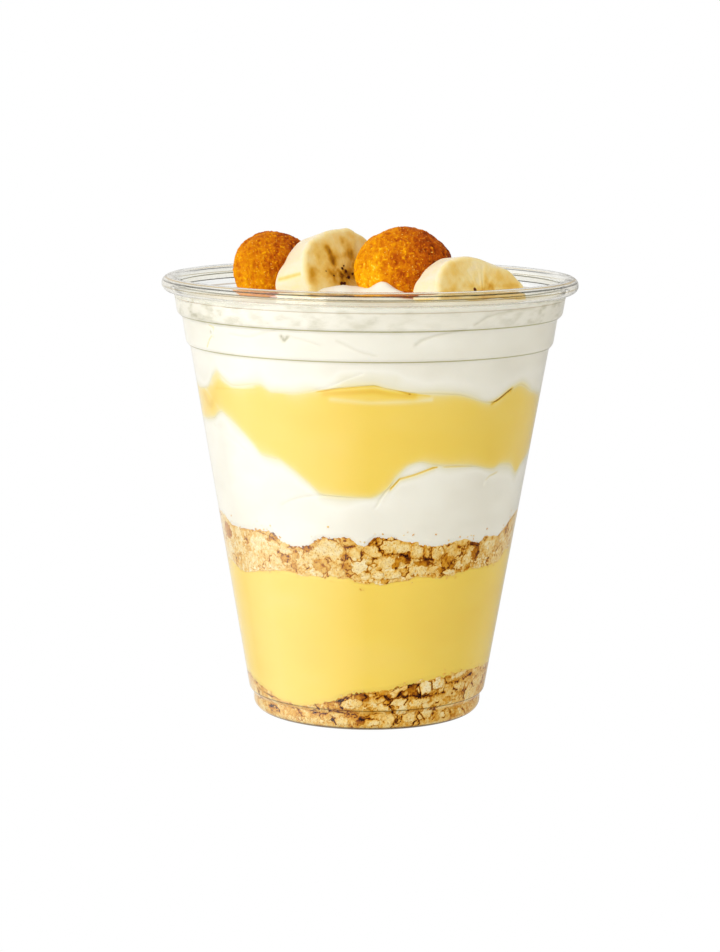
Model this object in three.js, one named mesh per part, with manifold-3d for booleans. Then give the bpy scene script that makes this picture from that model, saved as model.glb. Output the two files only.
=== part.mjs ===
// A banana parfait in a clear plastic cup: crumbs, custard and whipped cream in layers, with two small
// round wafers and two thick slices of banana stood in the cream on top.
// Millimetres, +Z up. The origin is on the table under the middle of the cup, and the front is -Y.
import * as THREE from 'three';
import { mergeVertices } from 'three/addons/utils/BufferGeometryUtils.js';
import Module from 'manifold-3d';

const wasm = await Module();
wasm.setup();

// The cup
const RIM_RADIUS = 49;
const CUP_HEIGHT = 103.7;
const WALL = 0.6;
const BEAD_RADIUS = 1.8;
const BEAD_DEGREES = [-90, -45, 0, 45, 90, 150];
const FOOT = { ringInner: 22.8, ringOuter: 24.4, rise: 1.2 };
const HEEL = { radius: 27.15, height: 2.6, grooveHeight: 4.3, steps: 3 };
const SIDE = { lowRadius: 28.2, lowHeight: 5.5, highRadius: 42.3, highHeight: 87.2 };
const BAND = { lowRadius: 43.3, lowHeight: 88.4, highRadius: 44.2, highHeight: 94.2 };
const COLLAR = { lowRadius: 45.4, lowHeight: 95.3, highRadius: 46.4, highHeight: 100.2 };

// The steps round the cup and the layers, those round the hidden cores, and the space kept between pieces
const STEPS = 40;
const CORE_STEPS = 20;
const GAP = 0.3;
const PAST_WALL = RIM_RADIUS + 4;
const FULL_TURN = 2 * Math.PI;

// Where each layer ends: its height in the middle, and round the wall as [degrees from the front, height]
const CRUMB_BED = {
  middle: 11,
  round: [
    [-140, 11.5], [-105, 10], [-76, 9.6], [-56, 7.4], [-36, 5.3], [-15, 7.8], [5, 10.2], [26, 12],
    [50, 13], [76, 12.5], [110, 11.3], [145, 12.4], [180, 10.4],
  ],
};
const LOWER_CUSTARD = {
  middle: 38,
  round: [
    [-165, 38], [-130, 39.5], [-95, 38.4], [-63, 36.2], [-36, 38.1], [-8, 37.5], [0, 36.2], [20, 37.4],
    [35, 37.1], [55, 38.3], [74, 41], [95, 40.4], [125, 38.2], [160, 39],
  ],
};
const CRUMB_BELT = {
  middle: 47,
  round: [
    [-165, 46.5], [-130, 48], [-100, 49.4], [-74, 48.5], [-62, 46.6], [-41, 47.5], [-31, 44.6], [-20, 46.7],
    [-9, 47], [-3, 45.4], [5, 47.2], [24, 45], [48, 44.8], [60, 45.4], [72, 48.8], [95, 50], [125, 47.5],
    [160, 48.5],
  ],
};
const LOWER_CREAM = {
  middle: 63,
  round: [
    [-170, 60], [-135, 69], [-100, 70.5], [-72, 71], [-58, 73.8], [-38, 65.2], [-30, 63.6], [-15, 57],
    [0, 56.4], [17, 64.6], [28, 63.2], [50, 62], [59, 61.9], [66, 59.7], [76, 61.8], [100, 65], [130, 60.5],
    [160, 63],
  ],
};
const UPPER_CUSTARD = {
  middle: 80,
  round: [
    [-140, 78], [-105, 80.5], [-76, 78.2], [-66, 79.1], [-57, 83], [-48, 80.6], [-30, 80.2], [-3, 82.4],
    [24, 80.3], [45, 77.6], [58, 80.7], [75, 77.6], [110, 79.5], [145, 77], [180, 80],
  ],
};

// The cream on top: its edge at the wall, and the soft heaps on it as middle, rise and spread
const TOP_CREAM = {
  middle: 98,
  round: [
    [-135, 96.6], [-90, 97.8], [-55, 98.6], [0, 99], [35, 99.3], [65, 99], [95, 98], [135, 96.6], [180, 96],
  ],
};
const CREAM_RINGS = [0.15, 0.32, 0.49, 0.66, 0.83, 1];
const HEAPS = [
  { x: 2, y: -3, rise: 2.9, spread: 18 },
  { x: -9, y: -11, rise: 1.4, spread: 7 },
  { x: 3, y: -14, rise: 2.4, spread: 5.5 },
  { x: -33, y: -10, rise: -1.2, spread: 7 },
];
const SWIRL = { rise: 0.7, arms: 2, turnLength: 17 };

// The crumbs that show: their sizes, how uneven and how flat they are, how far in from the wall they sit
// as a share of their size, and how far the core keeps behind them
const CRUMBS = { smallest: 3.6, largest: 7.2, uneven: 0.16, flatness: 0.72, sitsIn: 0.26 };
const CORE = { depth: 1.2, drop: 0.9 };
const BED_ROWS = { rows: 2, inRow: 17, seed: 11 };
const BELT_ROWS = { rows: 2, inRow: 23, seed: 29 };

// The toppings, stood in the cream in a row from the left back to the right front
// turn is to the right and lean is backwards, both in degrees
const WAFER = { radius: 11.6, rimHeight: 2.2, domeHeight: 6.2, roughness: 0.16, steps: 24 };
const DOME_RINGS = [0.82, 0.6, 0.32];
const SLICE = { thickness: 10, bevel: 0.7, corners: 5, cornerRise: 0.03, steps: 25 };
const WAFERS = {
  wafer_left: { x: -22.5, y: 6, z: 102.5, turn: 30, lean: 24, seed: 3 },
  wafer_right: { x: 8, y: -5, z: 104.7, turn: 3, lean: 29, seed: 8 },
};
const SLICES = {
  banana_left: { x: -5.3, y: -3, z: 103.3, turn: 42, lean: 16, width: 12.5, height: 12, spin: 20 },
  banana_right: { x: 26, y: -19, z: 99.5, turn: 36, lean: 12, width: 12.6, height: 10.9, spin: -6 },
};

// A repeatable stream of numbers from 0 to 1
function makeRandom(seed) {
  let state = seed;
  return () => {
    state = (state * 1664525 + 1013904223) % 4294967296;
    return state / 4294967296;
  };
}

function smoothStep(t) {
  return t * t * (3 - 2 * t);
}

function lerp(a, b, t) {
  return a + (b - a) * t;
}

// The cup's side from the foot to the collar, set inwards by an even amount
function sidePoints(inset) {
  const points = [];
  for (let i = 0; i <= HEEL.steps; i += 1) {
    const angle = (Math.PI / 2) * (i / HEEL.steps);
    const radius = FOOT.ringOuter + (HEEL.radius - FOOT.ringOuter - inset) * Math.sin(angle);
    const height = HEEL.height - (HEEL.height - inset) * Math.cos(angle);
    points.push(new THREE.Vector2(radius, height));
  }
  points.push(new THREE.Vector2(HEEL.radius - inset, HEEL.grooveHeight));
  for (const ring of [SIDE, BAND, COLLAR]) {
    points.push(new THREE.Vector2(ring.lowRadius - inset, ring.lowHeight));
    points.push(new THREE.Vector2(ring.highRadius - inset, ring.highHeight));
  }
  return points;
}

// The raised floor, from the axis out to the foot ring
function floorPoints(inset) {
  return [
    new THREE.Vector2(0, FOOT.rise + inset),
    new THREE.Vector2(FOOT.ringInner - FOOT.rise, FOOT.rise + inset),
    new THREE.Vector2(FOOT.ringInner, inset),
  ];
}

// The rolled rim, from under its outside over the top to its inside
function beadPoints() {
  const points = [];
  for (const degrees of BEAD_DEGREES) {
    const angle = THREE.MathUtils.degToRad(degrees);
    const radius = RIM_RADIUS - BEAD_RADIUS + BEAD_RADIUS * Math.cos(angle);
    const height = CUP_HEIGHT - BEAD_RADIUS + BEAD_RADIUS * Math.sin(angle);
    points.push(new THREE.Vector2(radius, height));
  }
  return points;
}

// Turns a profile of radius and height round the Z axis
function lathe(points, steps) {
  const geometry = new THREE.LatheGeometry(points, steps);
  geometry.rotateX(Math.PI / 2);
  return geometry;
}

// The wall radius at a height, set inwards by an even amount
function wallRadius(height, inset) {
  const points = sidePoints(inset);
  for (let i = 1; i < points.length; i += 1) {
    if (height <= points[i].y) {
      const t = (height - points[i - 1].y) / (points[i].y - points[i - 1].y);
      return lerp(points[i - 1].x, points[i].x, Math.max(t, 0));
    }
  }
  return points[points.length - 1].x;
}

// The height round the wall at an angle from the front, eased between the stated places
function heightRound(round, angle) {
  const degrees = THREE.MathUtils.radToDeg(angle);
  const sorted = [...round].sort((a, b) => a[0] - b[0]);
  const last = sorted[sorted.length - 1];
  const places = [[last[0] - 360, last[1]], ...sorted, [sorted[0][0] + 360, sorted[0][1]]];
  for (let i = 1; i < places.length; i += 1) {
    if (degrees <= places[i][0]) {
      const t = (degrees - places[i - 1][0]) / (places[i][0] - places[i - 1][0]);
      return lerp(places[i - 1][1], places[i][1], smoothStep(t));
    }
  }
  return last[1];
}

// A boundary between layers: it follows the wall's heights at the wall and levels out to the middle
function boundaryHeight(boundary, radius, angle) {
  const wall = wallRadius(boundary.middle, WALL);
  const share = Math.min(radius / wall, 1);
  return lerp(boundary.middle, heightRound(boundary.round, angle), share * share);
}

// The top of the cream: the wall's heights, a soft swirl and the heaps
function creamTopHeight(radius, angle) {
  const x = radius * Math.sin(angle);
  const y = -radius * Math.cos(angle);
  let height = boundaryHeight(TOP_CREAM, radius, angle);
  for (const heap of HEAPS) {
    const distance = Math.hypot(x - heap.x, y - heap.y) / heap.spread;
    height += heap.rise * Math.exp(-distance * distance);
  }
  const wall = wallRadius(TOP_CREAM.middle, WALL);
  const fade = Math.sin(Math.PI * Math.min(radius / wall, 1));
  return height + SWIRL.rise * fade * Math.sin(SWIRL.arms * angle + (FULL_TURN * radius) / SWIRL.turnLength);
}

// A boundary between layers as a sheet: its height at any place, and its rings of points out past the wall
function boundarySheet(boundary, offset) {
  const wall = wallRadius(boundary.middle, WALL);
  return {
    heightAt: (radius, angle) => boundaryHeight(boundary, radius, angle) + offset,
    radii: [0.4 * wall, 0.75 * wall, wall, PAST_WALL],
  };
}

function creamTopSheet() {
  const wall = wallRadius(TOP_CREAM.middle, WALL);
  return { heightAt: creamTopHeight, radii: [...CREAM_RINGS.map((share) => share * wall), PAST_WALL] };
}

function underFloorSheet() {
  return { heightAt: () => -FOOT.rise, radii: [PAST_WALL] };
}

// A closed body between two sheets, joined at their outermost rings
function bodyBetween(lowSheet, highSheet, steps) {
  const positions = [];
  const indices = [];
  const addSheet = (sheet, up) => {
    const first = positions.length / 3;
    const at = (ring, step) => first + 1 + ring * steps + (step % steps);
    const addFace = (a, b, c) => (up ? indices.push(a, b, c) : indices.push(a, c, b));
    positions.push(0, 0, sheet.heightAt(0, 0));
    for (const radius of sheet.radii) {
      for (let step = 0; step < steps; step += 1) {
        const angle = -Math.PI + (FULL_TURN * step) / steps;
        positions.push(radius * Math.sin(angle), -radius * Math.cos(angle), sheet.heightAt(radius, angle));
      }
    }
    for (let step = 0; step < steps; step += 1) {
      addFace(first, at(0, step), at(0, step + 1));
      for (let ring = 1; ring < sheet.radii.length; ring += 1) {
        addFace(at(ring - 1, step), at(ring, step), at(ring, step + 1));
        addFace(at(ring - 1, step), at(ring, step + 1), at(ring - 1, step + 1));
      }
    }
    return (step) => at(sheet.radii.length - 1, step);
  };
  const lowEdge = addSheet(lowSheet, false);
  const highEdge = addSheet(highSheet, true);
  for (let step = 0; step < steps; step += 1) {
    indices.push(lowEdge(step), lowEdge(step + 1), highEdge(step + 1));
    indices.push(lowEdge(step), highEdge(step + 1), highEdge(step));
  }
  const geometry = new THREE.BufferGeometry();
  geometry.setAttribute('position', new THREE.Float32BufferAttribute(positions, 3));
  geometry.setIndex(indices);
  return geometry;
}

// A closed geometry as a solid that can be joined and cut
function toSolid(geometry) {
  const plain = geometry.clone();
  plain.deleteAttribute('normal');
  plain.deleteAttribute('uv');
  const merged = mergeVertices(plain, 1e-4);
  const mesh = new wasm.Mesh({
    numProp: 3,
    vertProperties: new Float32Array(merged.attributes.position.array),
    triVerts: new Uint32Array(merged.index.array),
  });
  return new wasm.Manifold(mesh);
}

function toGeometry(solid) {
  const mesh = solid.getMesh();
  const geometry = new THREE.BufferGeometry();
  geometry.setAttribute('position', new THREE.Float32BufferAttribute(mesh.vertProperties, 3));
  geometry.setIndex(new THREE.Uint32BufferAttribute(mesh.triVerts, 1));
  return geometry;
}

// The largest body of a solid, without loose scraps
function largestBody(solid) {
  const bodies = solid.decompose();
  return bodies.reduce((best, body) => (body.volume() > best.volume() ? body : best));
}

// The room inside the cup, clear of the wall, up to above the rim
function cupRoom(inset, steps) {
  const side = sidePoints(inset);
  const top = CUP_HEIGHT + 10;
  const lip = new THREE.Vector2(side[side.length - 1].x, top);
  return toSolid(lathe([...floorPoints(inset), ...side, lip, new THREE.Vector2(0, top)], steps));
}

// A layer of the filling between two sheets, out to the wall
function layerSolid(lowSheet, highSheet, inset = WALL + GAP, steps = STEPS) {
  return toSolid(bodyBetween(lowSheet, highSheet, steps)).intersect(cupRoom(inset, steps));
}

// A crumb: a ball of few faces, pulled out of round and turned at random
function crumbGeometry(random, size) {
  const geometry = new THREE.IcosahedronGeometry(size / 2, 0);
  geometry.deleteAttribute('normal');
  geometry.deleteAttribute('uv');
  const merged = mergeVertices(geometry, 1e-4);
  const position = merged.attributes.position;
  const around = (middle) => middle * (1 + CRUMBS.uneven * (2 * random() - 1));
  for (let i = 0; i < position.count; i += 1) {
    const pull = around(1);
    position.setXYZ(i, position.getX(i) * pull, position.getY(i) * pull, position.getZ(i) * pull);
  }
  merged.scale(around(1), around(1), around(CRUMBS.flatness));
  const turn = new THREE.Euler(random() * FULL_TURN, random() * FULL_TURN, random() * FULL_TURN);
  merged.applyMatrix4(new THREE.Matrix4().makeRotationFromEuler(turn));
  return merged;
}

// Moves the corners of a crumb that would reach past the wall or the layers above and below it
function pressIntoLayer(geometry, low, high) {
  const position = geometry.attributes.position;
  const flatOfWall = Math.cos(Math.PI / STEPS);
  for (let i = 0; i < position.count; i += 1) {
    const angle = Math.atan2(position.getX(i), -position.getY(i));
    const bottom = low ? heightRound(low.round, angle) + GAP : WALL + 2 * GAP;
    const top = heightRound(high.round, angle) - GAP;
    const height = THREE.MathUtils.clamp(position.getZ(i), bottom, top);
    const reach = wallRadius(height, WALL + GAP) * flatOfWall;
    const radius = Math.min(Math.hypot(position.getX(i), position.getY(i)), reach);
    position.setXYZ(i, radius * Math.sin(angle), -radius * Math.cos(angle), height);
  }
}

// Crumbs at the wall between two boundaries, in uneven rows one above the other
function crumbPieces(layout, low, high) {
  const random = makeRandom(layout.seed);
  const pieces = [];
  for (let row = 0; row < layout.rows; row += 1) {
    for (let place = 0; place < layout.inRow; place += 1) {
      const size = lerp(CRUMBS.smallest, CRUMBS.largest, random());
      const along = (place + (row + random()) / layout.rows) / layout.inRow;
      const angle = FULL_TURN * along - Math.PI;
      const bottom = low ? heightRound(low.round, angle) : 0;
      const top = heightRound(high.round, angle);
      const height = lerp(bottom, top, (row + lerp(0.35, 0.85, random())) / layout.rows);
      const radius = wallRadius(height, WALL + GAP) - size * CRUMBS.sitsIn;
      const piece = crumbGeometry(random, size);
      piece.translate(radius * Math.sin(angle), -radius * Math.cos(angle), height);
      pressIntoLayer(piece, low, high);
      pieces.push(piece);
    }
  }
  return pieces;
}

// A crumb layer: a core kept back from the wall and the top, with the crumbs that show fused on
function crumbSolid(lowBoundary, highBoundary, layout) {
  const lowSheet = lowBoundary ? boundarySheet(lowBoundary, GAP / 2) : underFloorSheet();
  const room = layerSolid(lowSheet, boundarySheet(highBoundary, -GAP / 2));
  const coreTop = boundarySheet(highBoundary, -GAP / 2 - CORE.drop);
  let heap = layerSolid(lowSheet, coreTop, WALL + GAP + CORE.depth, CORE_STEPS);
  for (const piece of crumbPieces(layout, lowBoundary, highBoundary)) {
    heap = heap.add(toSolid(piece));
  }
  return largestBody(heap.intersect(room));
}

// A round wafer: flat below, with a rounded rim and a rough dome
function waferGeometry(seed, grow) {
  const random = makeRandom(seed);
  const outer = WAFER.radius + grow;
  const points = [
    new THREE.Vector2(0, -grow),
    new THREE.Vector2(outer - 1, -grow),
    new THREE.Vector2(outer, 1.1),
    new THREE.Vector2(outer - 0.4, WAFER.rimHeight + grow),
  ];
  for (const share of DOME_RINGS) {
    const rise = Math.sqrt(1 - share * share) * (WAFER.domeHeight - WAFER.rimHeight);
    points.push(new THREE.Vector2(outer * share, WAFER.rimHeight + grow + rise));
  }
  points.push(new THREE.Vector2(0, WAFER.domeHeight + grow));
  const geometry = new THREE.LatheGeometry(points, WAFER.steps);
  geometry.rotateX(Math.PI / 2);
  geometry.deleteAttribute('normal');
  geometry.deleteAttribute('uv');
  const merged = mergeVertices(geometry, 1e-4);
  const position = merged.attributes.position;
  for (let i = 0; i < position.count; i += 1) {
    const bump = (random() - 0.5) * 2 * WAFER.roughness;
    const pull = 1 + bump / outer;
    const lift = position.getZ(i) > WAFER.rimHeight ? bump : 0;
    position.setXYZ(i, position.getX(i) * pull, position.getY(i) * pull, position.getZ(i) + lift);
  }
  return merged;
}

// A banana slice: a softly five-cornered disc whose edges are a little rounded
function sliceGeometry(slice, grow) {
  const positions = [];
  const indices = [];
  const spin = THREE.MathUtils.degToRad(slice.spin);
  const rings = [
    { inset: SLICE.bevel, height: grow },
    { inset: 0, height: -SLICE.bevel },
    { inset: 0, height: -SLICE.thickness + SLICE.bevel },
    { inset: SLICE.bevel, height: -SLICE.thickness - grow },
  ];
  positions.push(0, 0, grow);
  for (const ring of rings) {
    for (let step = 0; step < SLICE.steps; step += 1) {
      const angle = (FULL_TURN * step) / SLICE.steps;
      const corner = 1 + SLICE.cornerRise * Math.cos(SLICE.corners * (angle - spin));
      const width = (slice.width + grow - ring.inset) * corner;
      const height = (slice.height + grow - ring.inset) * corner;
      positions.push(width * Math.cos(angle), height * Math.sin(angle), ring.height);
    }
  }
  positions.push(0, 0, -SLICE.thickness - grow);
  const last = positions.length / 3 - 1;
  const at = (ring, step) => 1 + ring * SLICE.steps + (step % SLICE.steps);
  for (let step = 0; step < SLICE.steps; step += 1) {
    indices.push(0, at(0, step), at(0, step + 1));
    for (let ring = 1; ring < rings.length; ring += 1) {
      const [a, b] = [at(ring - 1, step), at(ring - 1, step + 1)];
      const [c, d] = [at(ring, step), at(ring, step + 1)];
      indices.push(a, c, d, a, d, b);
    }
    indices.push(last, at(rings.length - 1, step + 1), at(rings.length - 1, step));
  }
  const geometry = new THREE.BufferGeometry();
  geometry.setAttribute('position', new THREE.Float32BufferAttribute(positions, 3));
  geometry.setIndex(indices);
  return geometry;
}

// Stands a topping at its place, with its face turned to the right and leant back
function placeTopping(object, place) {
  const lean = Math.PI / 2 - THREE.MathUtils.degToRad(place.lean);
  object.position.set(place.x, place.y, place.z);
  object.rotation.set(lean, 0, THREE.MathUtils.degToRad(place.turn), 'ZYX');
  object.updateMatrixWorld();
  return object;
}

// The hollow that a topping presses into the cream
function toppingHollow(geometry, place) {
  const object = placeTopping(new THREE.Object3D(), place);
  return toSolid(geometry.applyMatrix4(object.matrixWorld));
}

function makeCup() {
  const outside = [...floorPoints(0), ...sidePoints(0)];
  const inside = [...floorPoints(WALL), ...sidePoints(WALL)].reverse();
  return lathe([...outside, ...beadPoints(), ...inside], STEPS);
}

function makeCreamTop() {
  let cream = layerSolid(boundarySheet(UPPER_CUSTARD, GAP / 2), creamTopSheet());
  for (const place of Object.values(WAFERS)) {
    cream = cream.subtract(toppingHollow(waferGeometry(place.seed, GAP + WAFER.roughness), place));
  }
  for (const place of Object.values(SLICES)) {
    cream = cream.subtract(toppingHollow(sliceGeometry(place, GAP), place));
  }
  return largestBody(cream);
}

function plainLayer(low, high) {
  return layerSolid(boundarySheet(low, GAP / 2), boundarySheet(high, -GAP / 2));
}

const materials = {
  plastic: new THREE.MeshStandardMaterial({ color: 0xe9eeec, roughness: 0.08, metalness: 0 }),
  crumb: new THREE.MeshStandardMaterial({ color: 0xd9b27a, roughness: 0.9, metalness: 0 }),
  custard: new THREE.MeshStandardMaterial({ color: 0xf3d468, roughness: 0.35, metalness: 0 }),
  cream: new THREE.MeshStandardMaterial({ color: 0xf8f4e8, roughness: 0.5, metalness: 0 }),
  wafer: new THREE.MeshStandardMaterial({ color: 0xc87818, roughness: 0.7, metalness: 0 }),
  banana: new THREE.MeshStandardMaterial({ color: 0xefdcae, roughness: 0.45, metalness: 0 }),
};

const parfait = new THREE.Group();

function addPiece(name, geometry, material) {
  const mesh = new THREE.Mesh(geometry, material);
  mesh.name = name;
  parfait.add(mesh);
  return mesh;
}

addPiece('cup', makeCup(), materials.plastic);
addPiece('crumbs_bottom', toGeometry(crumbSolid(null, CRUMB_BED, BED_ROWS)), materials.crumb);
addPiece('custard_lower', toGeometry(plainLayer(CRUMB_BED, LOWER_CUSTARD)), materials.custard);
addPiece('crumbs_middle', toGeometry(crumbSolid(LOWER_CUSTARD, CRUMB_BELT, BELT_ROWS)), materials.crumb);
addPiece('cream_lower', toGeometry(plainLayer(CRUMB_BELT, LOWER_CREAM)), materials.cream);
addPiece('custard_upper', toGeometry(plainLayer(LOWER_CREAM, UPPER_CUSTARD)), materials.custard);
addPiece('cream_top', toGeometry(makeCreamTop()), materials.cream);
for (const [name, place] of Object.entries(WAFERS)) {
  placeTopping(addPiece(name, waferGeometry(place.seed, 0), materials.wafer), place);
}
for (const [name, place] of Object.entries(SLICES)) {
  placeTopping(addPiece(name, sliceGeometry(place, 0), materials.banana), place);
}

export default parfait;
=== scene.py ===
"""A banana parfait in its clear plastic cup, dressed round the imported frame."""
import math
import bmesh
import bpy
import numpy as np
from mathutils import Matrix, Vector


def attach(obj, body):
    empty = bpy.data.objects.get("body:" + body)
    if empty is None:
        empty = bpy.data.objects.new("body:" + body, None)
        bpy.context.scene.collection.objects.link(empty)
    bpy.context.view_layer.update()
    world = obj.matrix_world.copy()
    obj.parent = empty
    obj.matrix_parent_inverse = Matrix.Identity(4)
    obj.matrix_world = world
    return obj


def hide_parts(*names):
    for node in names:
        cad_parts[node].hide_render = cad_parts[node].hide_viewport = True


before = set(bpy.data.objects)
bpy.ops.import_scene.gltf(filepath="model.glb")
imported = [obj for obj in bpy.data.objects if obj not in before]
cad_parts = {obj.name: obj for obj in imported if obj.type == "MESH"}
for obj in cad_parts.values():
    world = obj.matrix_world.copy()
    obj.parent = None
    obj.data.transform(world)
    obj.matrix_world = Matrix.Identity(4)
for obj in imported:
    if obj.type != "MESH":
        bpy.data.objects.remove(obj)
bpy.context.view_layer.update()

# Sizes are in millimetres and angles in degrees, measured from the front, with + to the right
MM = 0.001
FULL_TURN = 2 * math.pi

# The cup, as in the frame
RIM_RADIUS = 49.0
CUP_HEIGHT = 103.7
WALL = 0.6
BEAD_RADIUS = 1.8
FOOT_INNER = 22.8
FOOT_OUTER = 24.4
FOOT_RISE = 1.2
HEEL_RADIUS = 27.15
HEEL_HEIGHT = 2.6
GROOVE_HEIGHT = 4.3
SIDE = ((28.2, 5.5), (42.3, 87.2))
BAND = ((43.3, 88.4), (44.2, 94.2))
COLLAR = ((45.4, 95.3), (45.95, 98.8), (46.25, 99.3), (46.4, 100.2))

# Its shell in this scene: the wall in the rim, the rounding of its heel and bends, and the steps round it
RIM_WALL = 0.3
HEEL_STEPS = 6
BEND_RADIUS = 0.35
BEND_STEPS = 2
CUP_STEPS = 240

# Its plastic, with level lines at the bends and the rim as (height, half width, colour): painted shade,
# tinted in places by painted reflection of the filling
WHITE = (255, 255, 255)
CLEAR = (250, 251, 249)
CLEAR_BEAD = (250, 248, 242)
# Painted shadow along the bottom edge of the foot, where it meets the floor
FOOT_CONTACT_SHADOW = (64, 60, 52)
FOOT_SHADE = ((0.0, FOOT_CONTACT_SHADOW), (0.8, FOOT_CONTACT_SHADOW), (1.1, CLEAR))
PASSING_LIGHT = (0.96, 0.97, 0.96, 1)
WALL_SHADE_AND_REFLECTION_LINES = ((87.75, 0.13, (140, 136, 70)), (94.75, 0.13, (130, 126, 50)), (98.9, 0.09, (190, 172, 150)))
INNER_SHADE_LINES = ((101.7, 0.12, (150, 148, 128)),)
RIM_SHADE_AND_REFLECTION_LINES = ((101.7, 0.1, (206, 194, 164)), (102.8, 0.09, (84, 82, 78)), (103.43, 0.09, (196, 160, 96)))
GROOVE_SHADE_LINES = ((5.2, 0.13, (110, 98, 66)),)

# Where each layer ends at the wall, as (angle, height), and its height in the middle
CRUMB_BED = (11.0, (
    (-140, 11.5), (-105, 10), (-76, 9.6), (-65, 8.4), (-54, 7.2), (-46, 5.9), (-34, 5.3), (-26, 6.1),
    (-15, 7.8), (-7, 9.5), (10, 10.5), (18, 11.6), (33, 12.5), (50, 13), (76, 12.5), (110, 11.3),
    (145, 12.4), (180, 10.4)))
LOWER_CUSTARD = (38.0, (
    (-165, 38), (-130, 39.5), (-95, 38.4), (-74, 37.5), (-61, 35.9), (-47, 37.1), (-34, 38.2),
    (-27, 37.7), (-8, 37.5), (-4, 36.4), (5, 36.2), (15, 36.9), (20, 37.6), (35, 37.1), (42, 38.3),
    (63, 38.2), (71, 40.6), (95, 40.4), (125, 38.2), (160, 39)))
CRUMB_BELT = (47.0, (
    (-165, 46.5), (-130, 48), (-100, 49.4), (-74, 48.5), (-62, 46.5), (-55, 46.6), (-41, 47.5),
    (-31, 44.4), (-23, 44.6), (-19, 46.7), (-8, 47), (-2, 45.2), (3, 47.2), (9, 47.2), (15, 46.1),
    (28, 44.8), (38, 45.6), (48, 44.3), (51, 45.7), (59, 44.8), (72, 48.6), (95, 50), (125, 47.5),
    (160, 48.5)))
LOWER_CREAM = (63.0, (
    (-170, 60), (-135, 69), (-100, 70.5), (-75, 71), (-65, 71.9), (-58, 73.9), (-55, 73.2), (-49, 70.9),
    (-43, 67.6), (-39, 65.2), (-32, 64.5), (-29, 63.3), (-22, 59.9), (-16, 56.9), (0, 56.4), (6, 58.2),
    (10, 61.7), (14, 64.1), (18, 64.7), (23, 63.9), (38, 63), (49, 61.7), (53, 62.4), (59, 61.9),
    (66, 59.5), (70, 61.2), (100, 65), (130, 60.5), (160, 63)))
UPPER_CUSTARD = (80.0, (
    (-140, 78), (-105, 80.5), (-85, 79), (-75, 78.2), (-66, 79.1), (-60, 82.2), (-57, 83.2), (-54, 81.9),
    (-49, 80.6), (-37, 81.6), (-32, 80.1), (-26, 80.1), (-18, 80.9), (1, 82.6), (5, 81.9), (15, 80.7),
    (28, 80.1), (44, 77.4), (52, 79.8), (57, 80.8), (67, 78.5), (83, 76.9), (110, 79.5), (145, 77),
    (180, 80)))
TOP_CREAM = (98.0, (
    (-135, 96.6), (-90, 98), (-62, 98.8), (-50, 99.1), (-41, 98.7), (-34, 99.6), (-20, 100.1), (40, 100.1),
    (65, 99.6), (95, 98.4), (135, 96.6), (180, 96)))

# The top of the cream: heaps and bumps as (right, back, rise, spread), a low swirl and small waves
HEAPS = ((2, -3, 2.9, 18), (-9, -11, 1.4, 7), (3, -14, 2.4, 5.5), (-33, -10, -1.2, 7))
CREAM_BUMPS = (
    (-8, -13, 1.0, 4.5), (-1.2, -13.5, -1.0, 2.0), (2.3, -13.5, 1.3, 2.8), (9, -13, -0.6, 4.0),
    (-22, -22, 0.9, 5.0), (18, -30, 0.8, 6.0), (-5, -33, 0.9, 6.5), (30, 4, 1.2, 7.0), (-24, 22, 1.6, 8.0),
    (6, 24, 1.8, 8.0), (22, 24, 1.0, 6.0))
SWIRL_RISE = 0.7
SWIRL_ARMS = 2
SWIRL_TURN_LENGTH = 17.0
WAVE_RISE = 0.45
WAVE_SIZE = 6.0

# How finely the layers are made: rows up the wall, steps round it, and rings out of sight and on top
CRUMB_ROWS = 60
CUSTARD_ROWS = 60
SOFT_ROWS = 80
TOP_ROWS = 90
CRUMB_STEPS = 1040
FINE_STEPS = 420
PLAIN_STEPS = 288
HIDDEN_RINGS = 5
TOP_RINGS = 50
FRONT_CROWDING = 0.5

# A radius past any wall, how far soft layers run and draw back behind crumbs, and how deep a dent goes
BEYOND_WALL = 60.0
OVERLAP = 1.2
RECEDE = 0.42
WALL_REACH = -0.27

# Marks in cream and custard, as (line of (angle, height), width, change of tone, dent); in cream, a fall of
# tone greys a fold or dent with painted shade
LOWER_CREAM_MARKS = (
    (((7.8, 58.6), (10.8, 60.9), (15.7, 61.7), (22.4, 63.2), (24.0, 63.3)), 0.26, 0.6, -0.18),
    (((7.8, 58.4), (10.8, 60.5), (15.7, 61.3), (22.4, 62.9)), 0.7, 0.25, -0.05),
    (((27, 63.2), (31, 63.2), (36.5, 63.3)), 0.25, 0.16, -0.06),
    (((-32.9, 53.7), (-28.9, 55.1), (-24.8, 56.0), (-20.1, 56.6), (-15.3, 56.7)), 0.3, -0.07, -0.2),
    (((8.1, 59.8), (6.1, 57.9), (4.1, 56.0), (2.7, 54.2)), 0.3, 0.07, -0.18),
    (((-65.9, 70.2), (-58.6, 68.7), (-52.8, 67.1), (-46.6, 65.7)), 0.3, 0.06, -0.16),
    (((51.5, 60.6), (47.7, 60.0), (45.9, 59.1), (45.7, 58.0)), 0.18, 0.5, -0.18),
    (((26.1, 63.3), (30.9, 63.1), (38.1, 62.9)), 0.2, 0.15, -0.1),
)
FOLD_LINE = ((43.5, 77.1), (47.0, 78.0), (50.7, 79.4), (52.2, 79.8))
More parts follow.
